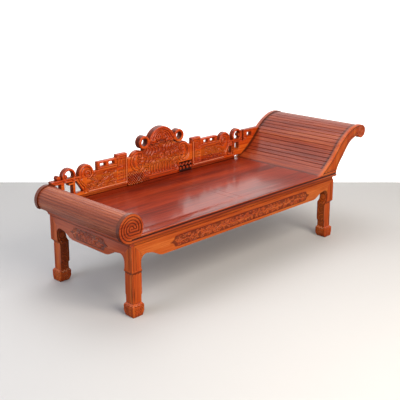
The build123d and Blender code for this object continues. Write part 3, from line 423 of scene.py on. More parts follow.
# %% outlines of flat faces
def face_rim(node, axis, level):
    """Rim of a solid's flat face at `level` on an axis: the edges that only one of the face's
    triangles uses, as segments of shape (count, 2 ends, 2)."""
    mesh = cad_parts[node].data
    points = points_in_mm(mesh)
    mesh.calc_loop_triangles()
    corners = np.empty(len(mesh.loop_triangles) * 3, np.int32)
    mesh.loop_triangles.foreach_get("vertices", corners)
    welded, number = np.unique(points.round(2), axis=0, return_inverse=True)
    corners = number.reshape(-1)[corners].reshape(-1, 3)
    corners = corners[(abs(welded[corners][:, :, axis] - level) < 0.02).all(1)]
    edges = np.concatenate([corners[:, [0, 1]], corners[:, [1, 2]], corners[:, [2, 0]]])
    _, first, uses = np.unique(np.sort(edges, 1), axis=0, return_index=True, return_counts=True)
    return np.delete(welded[edges[first[uses == 1]]], axis, 2)


def outer_loop(rim):
    """The widest closed loop of a rim. Each segment takes the smaller of its own label and that
    of a later one, twice as far on at each pass, until a whole loop shares one label."""
    starts, ends = rim[:, 0].round(2), rim[:, 1].round(2)
    _, key = np.unique(np.concatenate([starts, ends]), axis=0, return_inverse=True)
    key = key.reshape(-1)
    owner = np.empty(key.max() + 1, int)
    owner[key[:len(rim)]] = np.arange(len(rim))
    following = owner[key[len(rim):]]
    label = np.arange(len(rim))
    for _ in range(12):                      # enough for 4096 segments
        label = np.minimum(label, label[following])
        following = following[following]
    widths = {name: np.ptp(starts[label == name, 0]) for name in np.unique(label)}
    return rim[label == max(widths, key=widths.get)]


print("rim segments of the centre board:", len(face_rim("back_centre_board", 1, 360.0)))

# %% distances
BATCH = 6000             # points worked out at a time, so that the arrays stay small


def reach_of(points, starts, ends):
    """Distance from each point to each segment, and the share of the segment's length at which
    it is nearest: the point's projection on the segment, held between its ends."""
    run = ends - starts
    away = points[:, None] - starts
    along = np.clip((away * run).sum(2) / np.maximum((run ** 2).sum(1), 1e-9), 0, 1)
    gap = away - along[..., None] * run
    return np.hypot(gap[..., 0], gap[..., 1]), along


def edge_distance(points, rim):
    """Signed distance to the rim, positive inside; a point is inside if a ray crosses it oddly."""
    out = np.empty(len(points))
    a, b = rim[:, 0], rim[:, 1]
    slope = (b[:, 0] - a[:, 0]) / np.where(b[:, 1] == a[:, 1], 1, b[:, 1] - a[:, 1])
    for part in np.array_split(np.arange(len(points)), len(points) // BATCH + 1):
        x, z = points[part, 0, None], points[part, 1, None]
        crosses = ((a[:, 1] > z) != (b[:, 1] > z)) & (x < a[:, 0] + (z - a[:, 1]) * slope)
        inside = crosses.sum(1) % 2 == 1
        out[part] = np.where(inside, 1, -1) * reach_of(points[part], a, b)[0].min(1)
    return out


print("a point in the middle of the centre board lies",
      round(float(edge_distance(np.array([[-145.0, 600.0]]),
                                face_rim("back_centre_board", 1, 360.0))[0]), 1),
      "mm inside its rim")

# %% [markdown]
# Where the rim crosses a grid triangle, one corner lies alone on its side. The two edges that
# leave this corner are cut where the distance passes through zero, so the triangle gives a tip on
# one side of the rim and two triangles on the other.

# %% a grid clipped to an outline
def clipped_grid(rim, step):
    """Triangle grid over the rim's inside: points, their distances, triangles and rim edges."""
    low, high = rim.min((0, 1)) - step, rim.max((0, 1)) + step
    across, up = np.arange(low[0], high[0] + step, step), np.arange(low[1], high[1] + step, step)
    grid = np.stack(np.meshgrid(across, up), 2).reshape(-1, 2)
    depth = edge_distance(grid, rim)
    # a point almost on the rim is pushed off it, so that no triangle gets a side of no length
    nudge = 0.08 * step
    depth = np.where(abs(depth) < nudge, nudge * np.where(depth < 0, -1, 1), depth)
    width = len(across)
    cell = (np.arange(len(up) - 1)[:, None] * width + np.arange(width - 1)).ravel()
    faces = np.concatenate([
        np.stack([cell, cell + 1, cell + width + 1], 1),
        np.stack([cell, cell + width + 1, cell + width], 1)])
    count = (depth[faces] > 0).sum(1)
    mixed = faces[(count == 1) | (count == 2)]
    # turn each crossed triangle until the corner that is alone on its side comes first
    inside = depth[mixed] > 0
    alone = np.where(inside.sum(1) == 1, inside.argmax(1), (~inside).argmax(1))
    mixed = np.take_along_axis(mixed, (alone[:, None] + np.arange(3)) % 3, 1)
    cuts = np.sort(np.concatenate([mixed[:, [0, 1]], mixed[:, [0, 2]]]), 1)
    cuts, number = np.unique(cuts, axis=0, return_inverse=True)
    share = depth[cuts[:, 0]] / (depth[cuts[:, 0]] - depth[cuts[:, 1]])
    spots = grid[cuts[:, 0]] + share[:, None] * (grid[cuts[:, 1]] - grid[cuts[:, 0]])
    number = number.reshape(2, -1) + len(grid)
    # p and q are the cuts, a is the corner that is alone on its side, and b and c are the others
    one = depth[mixed[:, 0]] > 0
    p, q, a, b, c = number[0], number[1], mixed[:, 0], mixed[:, 1], mixed[:, 2]
    tips = np.stack([a, p, q], 1)[one]
    rest = np.concatenate([np.stack([p, b, c], 1), np.stack([p, c, q], 1)])[np.tile(~one, 2)]
    all_faces = np.concatenate([faces[count == 3], tips, rest])
    rim_edges = np.concatenate([np.stack([p, q], 1)[one], np.stack([q, p], 1)[~one]])
    used, faces_now = np.unique(all_faces, return_inverse=True)
    renumber = np.zeros(len(grid) + len(spots), int)
    renumber[used] = np.arange(len(used))
    points = np.concatenate([grid, spots])[used]
    depths = np.concatenate([depth, np.zeros(len(spots))])[used]
    return points, depths, faces_now.reshape(-1, 3), renumber[rim_edges]


corners = np.array([[0.0, 0.0], [20.0, 0.0], [20.0, 20.0], [0.0, 20.0]])
square = np.stack([corners, np.roll(corners, -1, 0)], 1)
print("triangles on a 20 mm square at a step of 5 mm:", len(clipped_grid(square, 5.0)[2]))

# %% [markdown]
# ## The chisel
# Every carved line is a polyline with a width: a rounded ridge that rises out of a cut on either
# side. The field keeps, for every grid point, the highest ridge and the gap to the nearest one.
# Arcs, spirals and smooth bends through a few points supply the lines.

# %% lines
def arc(x, z, radius, start, end, last_radius=None):
    """Points of an arc, angles in degrees; with a second radius it winds in or out evenly."""
    count = max(5, int(abs(end - start) / 12) + 1)
    turn = np.radians(np.linspace(start, end, count))
    radii = np.linspace(radius, radius if last_radius is None else last_radius, count)
    return np.stack([x + radii * np.cos(turn), z + radii * np.sin(turn)], 1)


def bend(*knots):
    """Smooth curve through the knots: each span from b to c is a cubic that leaves b along the
    line from a to c and reaches c along the line from b to d."""
    knots = np.array(knots, float)
    ends = np.concatenate([2 * knots[:1] - knots[1:2], knots, 2 * knots[-1:] - knots[-2:-1]])
    t = np.linspace(0, 1, 6, endpoint=False)[None, :, None]
    a, b, c, d = (ends[i:len(ends) - 3 + i, None] for i in range(4))
    curve = 0.5 * (2 * b + (c - a) * t + (2 * a - 5 * b + 4 * c - d) * t ** 2
                   + (3 * b - a - 3 * c + d) * t ** 3)
    return np.concatenate([curve.reshape(-1, 2), knots[-1:]])


def smooth_step(value):
    """0 below 0, 1 above 1, and an S-curve between: 3 t squared less 2 t cubed."""
    t = np.clip(value, 0, 1)
    return t * t * (3 - 2 * t)


print("a quarter circle of 10 mm gets", len(arc(0, 0, 10, 0, 90)), "points")

# %% the chisel
FAR = 99.0               # mm: no ridge is near
REACH = 9                # mm beyond a line's half width that its cut can be felt


def new_field(points, depths, base=0.0):
    """Blank field: where the points are, how deep inside the rim, and the uncarved height."""
    return {"at": points, "inset": depths, "base": np.full(len(points), float(base)),
            "ridge": np.full(len(points), -FAR), "gap": np.full(len(points), FAR),
            "painted_highlight": np.zeros(len(points))}


def carve(field, line, width, rise, cut=3.0, taper=0.0, painted_highlight=0.0):
    """Ridge along a line: it leaves a cut `cut` deep and swells as a half ellipse to `rise`;
    the last argument is how much painted highlight its top gets."""
    line = np.asarray(line, float)
    at = field["at"]
    near = np.flatnonzero(
        ((at > line.min(0) - width - REACH) & (at < line.max(0) + width + REACH)).all(1))
    if not len(near):
        return
    gap, along = reach_of(at[near], line[:-1], line[1:])
    best = gap.argmin(1)
    row = np.arange(len(near))
    gone = (best + along[row, best]) / (len(line) - 1)
    half = width / 2 * (1 - taper * gone)
    gap = gap[row, best]
    swell = -cut + (cut + rise) * np.sqrt(np.clip(1 - (gap / half) ** 2, 0, 1))
    ridge = np.where(gap < half, swell, -FAR)
    field["ridge"][near] = np.maximum(field["ridge"][near], ridge)
    field["gap"][near] = np.minimum(field["gap"][near], gap - half)
    # painted highlight along the ridge's top
    highlighted = painted_highlight * np.clip(1.3 - 2 * gap / half, 0, 1)
    field["painted_highlight"][near] = np.where(gap < half, highlighted, field["painted_highlight"][near])


def carved_height(field, cut=3.0, spread=4.0, edge=3.5, dark=0.75):
    """Height and painted shade of a field: ridges where they are; beside them a cut that fades out
    as a bell curve `spread` mm wide; and a quarter-round rim of radius `edge`. Shade up to `dark`
    is painted in the cuts and on the low parts of ridges, and the painted highlight comes off it."""
    gap = np.maximum(field["gap"], 0)
    ground = -cut * np.exp(-(gap / spread) ** 2)
    on_ridge = field["gap"] < 0
    height = field["base"] + np.where(on_ridge, field["ridge"], ground)
    inset = np.clip(edge - field["inset"], 0, edge)
    height = height - (edge - np.sqrt(edge ** 2 - inset ** 2))
    # painted shade in the cut beside a ridge and on a ridge's low parts
    foot = np.exp(-(gap / (0.6 * spread)) ** 2)
    low = np.clip(-field["ridge"] / cut, 0, 1) ** 2
    shade_and_highlight = dark * np.where(on_ridge, low, foot)
    return height, np.clip(shade_and_highlight, 0, 1) - field["painted_highlight"]


trial = new_field(np.array([[0.0, 0.0], [6.0, 0.0]]), np.array([50.0, 50.0]))
carve(trial, [(0, -20), (0, 20)], 8, 2.0)
print("mm of height on a trial ridge and beside it:", carved_height(trial)[0].round(1))

# %% [markdown]
# The last helper turns a field into a closed shell and puts it on the daybed. `place` maps
# (across, up, out) to (x, y, z), all in millimetres. The side walls are painted darker, as shade.

# %% shells
# painted shade on the side walls of a shell
WALL_SHADE = 0.6
ARRIS = 50               # degrees: sharper folds of a carved face are shaded as edges


def carved_shell(name, grid, height, shade_and_highlight, back, place, material, nodes):
    """Closed mesh: the carved front, walls to the back plane and a flat back, normals outward."""
    points, _, faces, rim = grid
    ring, rim_now = np.unique(rim, return_inverse=True)
    rim_now = rim_now.reshape(-1, 2) + len(points)
    front = np.column_stack([points, height])
    behind = np.column_stack([points[ring], np.full(len(ring), float(back))])
    flat = np.concatenate([front, behind])
    walls = np.concatenate([
        np.stack([rim[:, 1], rim[:, 0], rim_now[:, 0]], 1),
        np.stack([rim[:, 1], rim_now[:, 0], rim_now[:, 1]], 1)])
    mesh = bpy.data.meshes.new(name)
    mesh.from_pydata((place(flat) * MM).tolist(), [], np.concatenate([faces, walls]).tolist())
    shape = bmesh.new()
    shape.from_mesh(mesh)
    open_edges = [edge for edge in shape.edges if edge.is_boundary]
    bmesh.ops.triangle_fill(shape, use_beauty=True, edges=open_edges)
    bmesh.ops.recalc_face_normals(shape, faces=shape.faces)
    left_open = sum(not edge.is_manifold for edge in shape.edges)
    shape.to_mesh(mesh)
    shape.free()
    # the side walls get painted shade, and the front its own painted shade and highlight
    values = np.full(len(mesh.vertices), WALL_SHADE)
    values[:len(points)] = shade_and_highlight
    set_shade_and_highlight(mesh, values)
    shade_smooth(mesh, ARRIS)
    mesh.materials.append(material)
    add_piece(name, mesh, nodes)
    print(name, "triangles:", len(mesh.polygons), "open edges:", left_open,
          "height mm:", round(float(height.min()), 1), "to", round(float(height.max()), 1))


# the painted shade of the side walls
print("stain on the side walls:", WALL_SHADE)

# %% [markdown]
# ## The centre board
# The crest and the two ring ears stand 11 mm proud of the board. Big cloud scrolls curl in at
# either side, a bead runs along the lip and hooks upwards, and the middle is filled with
# blossoms and tendrils. Almost everything is mirrored, so lines are written for the right half,
# measured from the middle of the board, and carved twice.

# %% the centre board's blank
CENTRE = -145.0          # middle of the centre board, x in mm
BACK_LEVEL = 360.0       # y of the boards' back face, whose outline is the whole board's
FACE_LEVEL = 330.0       # y of the plain front face
THICK = 30.0
STEP = 2.3               # mm between grid points: a chisel mark needs two or three
SILL = 450               # mm up: below this a board runs down behind the seat's edge
CREST = (0, 644)         # middle of the crest's round top
SCROLL_EYE = (183, 567)  # middle of a cloud scroll

rim = face_rim("back_centre_board", 1, BACK_LEVEL)
rim[..., 0] -= CENTRE
grid = clipped_grid(rim, STEP)
field = new_field(grid[0], grid[1])
x, z = grid[0].T
crest = np.minimum(112 - np.hypot(x, z - CREST[1]), z - 655)
ears = 41 - np.hypot(abs(x) - 142, z - 677)
proud = np.maximum(crest, ears)
sunk = (z < SILL) & (abs(x) < 150)
field["base"] = 11.0 * smooth_step(proud / 3.5 + 0.5) - 8.0 * sunk
print("grid points on the centre board:", len(x))

# %% [markdown]
# The crest has a rim and an inner line, then feathers that fan out from a dark heart. Each ear is
# a round moulding, with a tail that runs in under the crest.

# %% crest and ears
for side in (-1, 1):
    flip = np.array([side, 1.0])
    # the crest's rim gets a little painted highlight
    carve(field, arc(*CREST, 105.5, 6, 90) * flip, 11, 3.0, cut=4, painted_highlight=0.3)
    for number in range(4):
        shift = 22.0 * number
        carve(field, bend((90 - shift, 680 + 0.2 * shift), (66 - 0.78 * shift, 712 - 0.1 * shift),
                          (34 - 0.4 * shift, 734 - 0.5 * shift), (4, 742 - shift)) * flip,
              11, 2.2, cut=4, taper=0.35)
    carve(field, bend((90, 666), (68, 656), (44, 654), (32, 664), (42, 676)) * flip, 8, 2.4, cut=4,
          taper=0.3)
    carve(field, arc(side * 142, 677, 32, 0, 360), 17, 3.0, cut=1)
    carve(field, bend((110, 655), (92, 648), (74, 652), (58, 646), (40, 650)) * flip, 9, 3, cut=4)
print("points on a ridge so far:", int((field["gap"] < 0).sum()))

# %% [markdown]
# A cloud scroll is a broad C whose two ends curl in round a bead. The bead along the lip turns up
# into a hook beside it.

# %% cloud scrolls and lip
for side in (-1, 1):
    flip = np.array([side, 1.0])
    carve(field, arc(*SCROLL_EYE, 54, -80, 100) * flip, 14, 3.0, cut=5)
    carve(field, arc(172, 598, 23, 100, 330, 15) * flip, 10, 3.0, cut=4, taper=0.4)
    carve(field, arc(172, 536, 23, -100, -330, 15) * flip, 10, 3.0, cut=4, taper=0.4)
    carve(field, arc(172, 599, 6, 0, 360) * flip, 6, 1.5)
    carve(field, arc(172, 536, 6, 0, 360) * flip, 6, 1.5)
    carve(field, arc(*SCROLL_EYE, 38, -45, 45) * flip, 5, 1.0)
    carve(field, bend((150, 567), (170, 575), (190, 567), (170, 559), (150, 567)) * flip, 5, 1.0)
    # the bead along the lip gets a painted highlight
    carve(field, bend((0, 460), (90, 461), (128, 464), (141, 478), (141, 498), (128, 511),
                      (112, 505)) * flip, 9, 3.0, cut=4, taper=0.2, painted_highlight=0.6)
    carve(field, bend((96, 497), (102, 484), (116, 482), (124, 492)) * flip, 6, 1.5)
print("points on a ridge so far:", int((field["gap"] < 0).sum()))

# %% [markdown]
# Leaves and curls fill the space between the scrolls and the middle, upright petals stand at its
# foot, and a blossom sits in it. A row of knots gives each leaf its spine.

# %% leaves, petals and blossom
LEAVES = (
    ((130, 646), (112, 634), (118, 614), (134, 606)),
    ((104, 640), (88, 624), (96, 606), (108, 598)),
    ((136, 590), (118, 582), (114, 564), (126, 552)),
    ((78, 636), (62, 620), (70, 602), (84, 592)),
    ((100, 584), (84, 576), (86, 556), (100, 548)),
    ((52, 634), (38, 618), (44, 600)),
    ((132, 540), (112, 536), (98, 526), (100, 508)),
    ((26, 638), (14, 624), (18, 608)),
    ((80, 540), (64, 546), (56, 560), (64, 574)),
    ((52, 590), (36, 584), (34, 568)),
)
for side in (-1, 1):
    flip = np.array([side, 1.0])
    for knots in LEAVES:
        carve(field, bend(*knots) * flip, 9.5, 2.4, cut=4, taper=0.5)
    carve(field, arc(40, 550, 10, 200, -140, 3) * flip, 7, 2.2, cut=4)
    for number in range(4):
        foot = 12 + 22 * number
        carve(field, bend((foot, 478), (foot + 3, 504), (foot - 2, 530 - 3 * number)) * flip,
              10.5, 2.2, cut=4.5, taper=0.4)
for turn in range(6):
    angle = 60 * turn + 30
    petal = (12 * math.cos(math.radians(angle)), 572 + 12 * math.sin(math.radians(angle)))
    carve(field, arc(*petal, 4, angle - 150, angle + 150), 6.5, 2.2, cut=4)
print("points on a ridge so far:", int((field["gap"] < 0).sum()))

# %% [markdown]
# Over the two feet the board is openwork: a lattice on the left, beads under a zigzag on the
# right. What lies behind an opening is only cut deep and painted black as shade, which reads as a
# hole.

# %% openwork over the feet
for number in range(10):
    low = -330 + 18 * number
    carve(field, [(low, 430), (low + 78, 508)], 5.5, 1.0, cut=5)
    carve(field, [(low + 78, 430), (low, 508)], 5.5, 1.0, cut=5)
for number in range(4):
    bead = 164 + 30 * number
    # the beads get a strong painted highlight
    carve(field, arc(bead, 456, 5, 0, 360), 8, 2.5, cut=5, painted_highlight=0.9)
    carve(field, bend((bead - 12, 474), (bead, 486), (bead + 12, 474)), 7, 2.0, cut=4)
height, shade_and_highlight = carved_height(field, cut=4, spread=4.5, dark=0.9)
over_foot = (abs(x) > 152) & (z < 497) & (np.hypot(abs(x) - SCROLL_EYE[0], z - SCROLL_EYE[1]) > 64)
opening = over_foot & (field["gap"] > 0)
height = np.where(opening, height - 5, height)
# painted shade: the openings black, the rest over the feet a little darker
shade_and_highlight = np.where(opening, 1.0, np.where(over_foot, np.maximum(shade_and_highlight, 0.15), shade_and_highlight))
print("points in the openings:", int(opening.sum()))

# %% [markdown]
# Painted shade makes shallow carving read as deep. It fills the ground between the tendrils, the
# step round the proud crest, and the heart that the feathers fan out from.

# %% painted shade and shell of the centre board
ground = field["gap"] > 0
# painted shade on the ground, on the step round the crest and in the heart
thicket = (abs(x) < 146) & (z > 478) & (z < 652) & ground
shade_and_highlight = np.where(thicket, np.maximum(shade_and_highlight, 0.35), shade_and_highlight)
shade_and_highlight = np.maximum(shade_and_highlight, 0.8 * (abs(proud + 2) < 3))
heart = np.exp(-((x / 40) ** 2 + ((z - 667) / 11) ** 2))
height = height - 6 * heart * ground
shade_and_highlight = np.maximum(shade_and_highlight, 0.8 * heart * ground)
height = np.clip(height, -12, 14)


def centre_place(p):
    """Back boards look to -Y; x is measured from the middle of the board."""
    return np.stack([p[:, 0] + CENTRE, FACE_LEVEL - p[:, 2], p[:, 1]], 1)


carved_shell("carved_centre_board", grid, height, shade_and_highlight, -THICK, centre_place, wood_carved,
             ["back_centre_board"])

# %% [markdown]
# ## The wings
# Each wing starts at the centre board with a squared fret, runs on as a low rail with two slots,
# winds into a volute and ends in openwork. Here the lines are measured outwards from the joint
# (t) and up from the floor (z), so both wings share most of them.

# %% frets and rails of a wing
# joint is an x in mm. The rest is in t and z: the middles of the volute and of the open loop, how
# far the low rail runs, the knots of the volute's tail, and where the loop's bar starts and ends
WINGS = {
    -1: dict(node="back_wing_left", joint=-413.0, volute=(300, 569), loop=(417, 574), rail=217,
             tail=[(346, 556), (344, 534), (330, 512), (310, 490), (312, 464)], bar=(350, 530)),
    1: dict(node="back_wing_right", joint=123.0, volute=(305, 576), loop=(427, 588), rail=232,
            tail=[(352, 560), (346, 540), (330, 516), (312, 492), (306, 478)], bar=(356, 520)),
}


def carve_fret(field, wing):
    """Squared fret by the joint: an edge bead, a hook that hangs from the top band, four bars,
    and a low bead under the slots that runs on into the volute."""
    vt = wing["volute"][0]
    # the edge bead gets a painted highlight
    carve(field, [(9, 612), (9, 468), (16, 461), (vt - 10, 461)], 8, 2.5, cut=4, painted_highlight=0.75)
    carve(field, [(6, 626), (72, 626)], 9, 2.5, cut=4)
    carve(field, [(70, 618), (70, 566), (46, 566), (46, 602)], 10, 2.5, cut=5)
    carve(field, [(26, 604), (26, 486)], 5, 0.5, cut=3)
    for level in (536, 517, 498, 480):
        carve(field, bend((34, level), (50, level + 2), (66, level - 1)), 6, 1.0, taper=0.3)
    carve(field, bend((79, 579), (150, 579), (wing["rail"], 579), (vt - 44, 573)), 7, 2.0, cut=4)


def carve_right_frets(field):
    """Frets round the square openings by the headrest, stepped like a key."""
    carve(field, [(337, 471), (378, 471), (378, 528), (337, 528), (337, 471)], 7, 2.0, cut=4)
    carve(field, [(402, 493), (446, 493), (446, 544), (402, 544), (402, 493)], 7, 2.0, cut=4)
    carve(field, [(390, 462), (390, 484)], 6, 2.0, cut=4)
    carve(field, [(329, 505), (354, 530)], 6, 2.0, cut=4)
    carve(field, [(390, 500), (390, 560), (460, 560)], 7, 2.0, cut=4)


print("wings:", [wing["node"] for wing in WINGS.values()])

# %% [markdown]
# The volute is three arcs that wind inwards, and its tail runs down to the seat. The clouds are
# short tapering bends, strewn by a seeded random draw so that each run gives the same carving.

# %% volute, loop and clouds
def carve_volute(field, wing):
    """The volute and its tail, then the open loop with its hook and the bar that carries it."""
    vt, vz = wing["volute"]
    lt, lz = wing["loop"]
    carve(field, arc(vt, vz, 44, 195, -30), 14, 3.0, cut=5)
    carve(field, arc(vt, vz, 44, 195, 250, 34), 11, 2.5, cut=5, taper=0.4)
    carve(field, bend((vt + 42, vz - 12), *wing["tail"]), 13, 3.0, cut=5, taper=0.35)
    # the inner arc gets a little painted highlight
    carve(field, arc(vt - 6, vz - 2, 22, 200, 20, 14), 8, 2.5, cut=4, taper=0.3, painted_highlight=0.35)
    carve(field, bend((vt + 8, vz + 4), (vt + 4, vz - 12), (vt - 14, vz - 12)), 7, 2.0, cut=4)
    carve(field, arc(lt, lz, 38, -40, 220), 13, 3.0, cut=2)
    carve(field, bend((wing["bar"][0], 556), (lt, 557), (wing["bar"][1], 556)), 11, 2.0, cut=3)


def carve_clouds(field, wing, chisel):
    """Low clouds and reeds in the panel between fret and volute."""
    vt, vz = wing["volute"]
    for _ in range(46):
        at = chisel.uniform((86, 474), (vt - 20, 562))
        if at[1] > 560 or np.hypot(at[0] - vt, at[1] - vz) < 58:
            continue
        run = chisel.uniform(14, 34)
        sway = chisel.uniform(-7, 7)
        knots = (at, at + (run / 2, sway * 0.6 - 2), at + (run, -sway * 0.3 - 5))
        carve(field, bend(*knots), chisel.uniform(4, 6.5), 0.8, cut=2.6, taper=0.5)


print("volutes at", [wing["volute"] for wing in WINGS.values()], "from their joints, in mm")

# %% [markdown]
# Thin members get a soft painted shade along their edges, and the ground behind the clouds a
# little painted shade. The strip that enters the seat is sunk and painted dark as shade.

# %% both wings
chisel = np.random.default_rng(11)
for side, wing in WINGS.items():
    rim = face_rim(wing["node"], 1, BACK_LEVEL)
    rim[..., 0] = side * (rim[..., 0] - wing["joint"])
    grid = clipped_grid(rim, STEP)
    field = new_field(grid[0], grid[1])
    t, z = grid[0].T
    foot = z < SILL
    field["base"] = -8.0 * foot
    carve_fret(field, wing)
    carve_volute(field, wing)
    carve_clouds(field, wing, chisel)
    if side > 0:
        carve_right_frets(field)
    height, shade_and_highlight = carved_height(field, cut=4, spread=4.0)
    # painted shade along thin edges, on the strip behind the seat and on the ground behind the
    # clouds
    thin = (t > wing["loop"][0] - 60) & (z > SILL)
    shade_and_highlight = np.where(thin, np.maximum(shade_and_highlight, 0.6 * np.clip(1 - grid[1] / 3.5, 0, 1)), shade_and_highlight)
    shade_and_highlight = np.where(foot, 0.5, shade_and_highlight)
    vt, vz = wing["volute"]
    panel = (t > 82) & (z > 468) & (z < 566) & (np.hypot(t - vt, z - vz) > 56) & (t < vt)
    shade_and_highlight = np.where(panel & (field["gap"] > 0), np.maximum(shade_and_highlight, 0.28), shade_and_highlight)
    joint = wing["joint"]
    carved_shell(
        "carved_" + wing["node"], grid, np.clip(height, -12, 3), shade_and_highlight, -THICK,
        lambda p: np.stack([joint + side * p[:, 0], FACE_LEVEL - p[:, 2], p[:, 1]], 1),
        wood_carved, [wing["node"]])

# %% [markdown]
# ## Legs
# The legs are carved in the round, so they start from a fine skin: the Remesh modifier lays even
# quads over the solid, and the chisel then pushes the skin in and out on each face. Every face
# has a curled foot. The outer ones have a scalloped collar and a lens-shaped flute beside the
# corner, and the inner ones a boss under the arch with scrolls that run down from it.

# %% a fine skin
def fine_skin(node, voxel):
    """Even quad mesh over a solid, `voxel` millimetres to a side."""
    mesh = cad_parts[node].data.copy()
    shape = bmesh.new()
    shape.from_mesh(mesh)
    bmesh.ops.remove_doubles(shape, verts=shape.verts, dist=WELD)
    shape.to_mesh(mesh)
    shape.free()
    rough = bpy.data.objects.new("rough_" + node, mesh)
    bpy.context.scene.collection.objects.link(rough)
    remesh = rough.modifiers.new("skin", "REMESH")
    remesh.mode = "VOXEL"
    remesh.voxel_size = voxel * MM
    ready = rough.evaluated_get(bpy.context.evaluated_depsgraph_get())
    skin = bpy.data.meshes.new_from_object(ready)
    bpy.data.objects.remove(rough)
    skin.name = "carved_" + node
    return skin


LEGS = ("leg_front_left", "leg_front_right", "leg_back_left", "leg_back_right")
print("legs to carve:", len(LEGS))

# %% [markdown]
# Lines on a leg are measured across from its outer corner and up from the floor. The first
# function carves what all faces share and the second what only the inner ones have. The third
# puts them together, and sinks the collar and the flute into the outer faces.

# %% lines on a leg
def carve_foot_and_corner(field):
    """A bead down the corner, a fine flute beside it, and the curled foot with its wavy top."""
    # the corner bead, the foot's curl and its wavy top get painted highlights
    carve(field, [(2.5, 248), (2.5, 374)], 5, 0.4, cut=1.4, painted_highlight=0.6)
    carve(field, [(2.5, 72), (2.5, 216)], 5, 0.4, cut=1.4, painted_highlight=0.6)
    carve(field, [(16, 250), (16, 372)], 2.5, 0.0, cut=0.8)
    carve(field, arc(30, 20, 18, 170, -110, 6), 7, 1.2, cut=2.6, taper=0.3, painted_highlight=0.3)
    carve(field, arc(-2, 26, 15, 60, -60), 6, 1.0, cut=2.4)
    carve(field, arc(52, 40, 9, 200, -150, 3), 6, 1.0, cut=2.4, taper=0.3)
    carve(field, bend((2, 66), (12, 56), (20, 66), (30, 56), (40, 66), (56, 58)), 6, 1.0, cut=2.4,
          painted_highlight=0.9)
    carve(field, bend((6, 7), (24, 4), (52, 6)), 5, 0.8, cut=1.6)


def carve_inner_scrolls(field):
    """A round boss under the arch, with scrolls that run down to the foot."""
    carve(field, arc(26, 268, 9, 0, 360), 20, 0.8, cut=3.0)
    carve(field, arc(26, 268, 25, 150, 400), 6, 0.8, cut=3.0)
    carve(field, bend((8, 240), (14, 222), (34, 226), (46, 206), (34, 190), (20, 198)), 8, 0.8,
          cut=3.0, taper=0.3)
    carve(field, bend((50, 190), (46, 168), (30, 160), (14, 172)), 7, 0.8, cut=3.0, taper=0.3)
    carve(field, bend((12, 150), (30, 146), (44, 130), (40, 112)), 8, 0.8, cut=3.0, taper=0.3)
    carve(field, bend((10, 128), (22, 116), (16, 98), (30, 88)), 7, 0.8, cut=3.0)
    carve(field, arc(34, 92, 12, 100, -150, 5), 6, 0.8, cut=3.0)


def carve_leg_face(across, z, inner):
    """Height and painted shade of one face, at points `across` from the corner and `z` up. The
    collar is scalloped by the size of a sine; the flute is a flat dome, long and narrow as a lens.
    The collar, the flute and the ground of inner faces get painted shade."""
    field = new_field(np.column_stack([across, z]), np.full(len(z), FAR))
    carve_foot_and_corner(field)
    if inner:
        carve_inner_scrolls(field)
    height, shade_and_highlight = carved_height(field, cut=2.4, spread=3.0, edge=0.5, dark=0.8)
    if inner:
        # painted shade on the ground of the inner faces
        ground = (field["gap"] > 0) & (z > 70) & (z < 300)
        return height, np.where(ground, np.maximum(shade_and_highlight, 0.4), shade_and_highlight)
    scallop = 219 + 7 * np.abs(np.sin(np.pi * across / 20))
    collar = smooth_step((z - scallop) / 3) * smooth_step((243 - z) / 3)
    lens = np.clip(1 - ((across - 9.8) / 4.2) ** 2 - ((z - 117) / 49) ** 2, 0, 1)
    # painted shade in the collar and the flute
    return (height - 0.8 * collar - 0.8 * lens,
            np.maximum(shade_and_highlight, np.maximum(0.65 * collar, 0.7 * lens)))


up_the_flute = np.arange(60.0, 260.0, 20.0)
print("mm of height up the flute and over the collar:",
      carve_leg_face(np.full(len(up_the_flute), 9.8), up_the_flute, False)[0].round(1))

# %% [markdown]
# A skin point belongs to a face when its normal points that way. It moves along the face's own
# direction only, and never out of the solid's box.

# %% carve the legs
VOXEL = 2.0
SWELL = 10.0             # mm that the foot stands out beyond the shaft
AS_SAWN = 378            # mm up: the mortised top above this is not carved
FACING = 0.75            # how squarely a point's normal has to look along the face's direction
DEEPEST, PROUDEST = -3.0, 0.8

for node in LEGS:
    skin = fine_skin(node, VOXEL)
    at = points_in_mm(skin)
    normal = np.empty(len(skin.vertices) * 3)
    skin.vertices.foreach_get("normal", normal)
    normal = normal.reshape(-1, 3)
    low, high = at.min(0), at.max(0)
    # in x and y: 1 or -1 for the way out from the middle of the bed, and the shaft's outer corner
    out = np.array([-1.0 if "left" in node else 1.0, -1.0 if "front" in node else 1.0])
    corner = np.where(out > 0, high[:2], low[:2]) - out * SWELL
    shade_and_highlight = np.zeros(len(at))
    push = np.zeros_like(at)
    for axis in (0, 1):
        for inner in (False, True):
            way = -out[axis] if inner else out[axis]
            face = np.flatnonzero(normal[:, axis] * way > FACING)
            across = (corner[1 - axis] - at[face, 1 - axis]) * out[1 - axis]
            height, dark = carve_leg_face(across, at[face, 2], inner)
            height = np.where(at[face, 2] < AS_SAWN, height, 0)
            push[face, axis] += way * np.clip(height, DEEPEST, PROUDEST)
            shade_and_highlight[face] = dark
    at = np.where(at[:, 2:] < AS_SAWN, np.clip(at + push, low, high), at)
    skin.vertices.foreach_set("co", (at * MM).ravel())
    set_shade_and_highlight(skin, shade_and_highlight)
    shade_smooth(skin, 0)
    skin.materials.clear()
    skin.materials.append(wood_post)
    add_piece("carved_" + node, skin, [node])
    print("carved_" + node, "quads:", len(skin.polygons))

# %% [markdown]
# ## The headrest's side frames
# The two S-curved side frames are flat boards, so they are carved as height fields too. A groove
# follows the whole outline, a fainter one runs inside it, and a spiral ridge winds into the
# scroll. Everything is cut into the face: nothing stands proud of it. The grooves are narrower
# than the marks on the boards, so the grid is finer here.

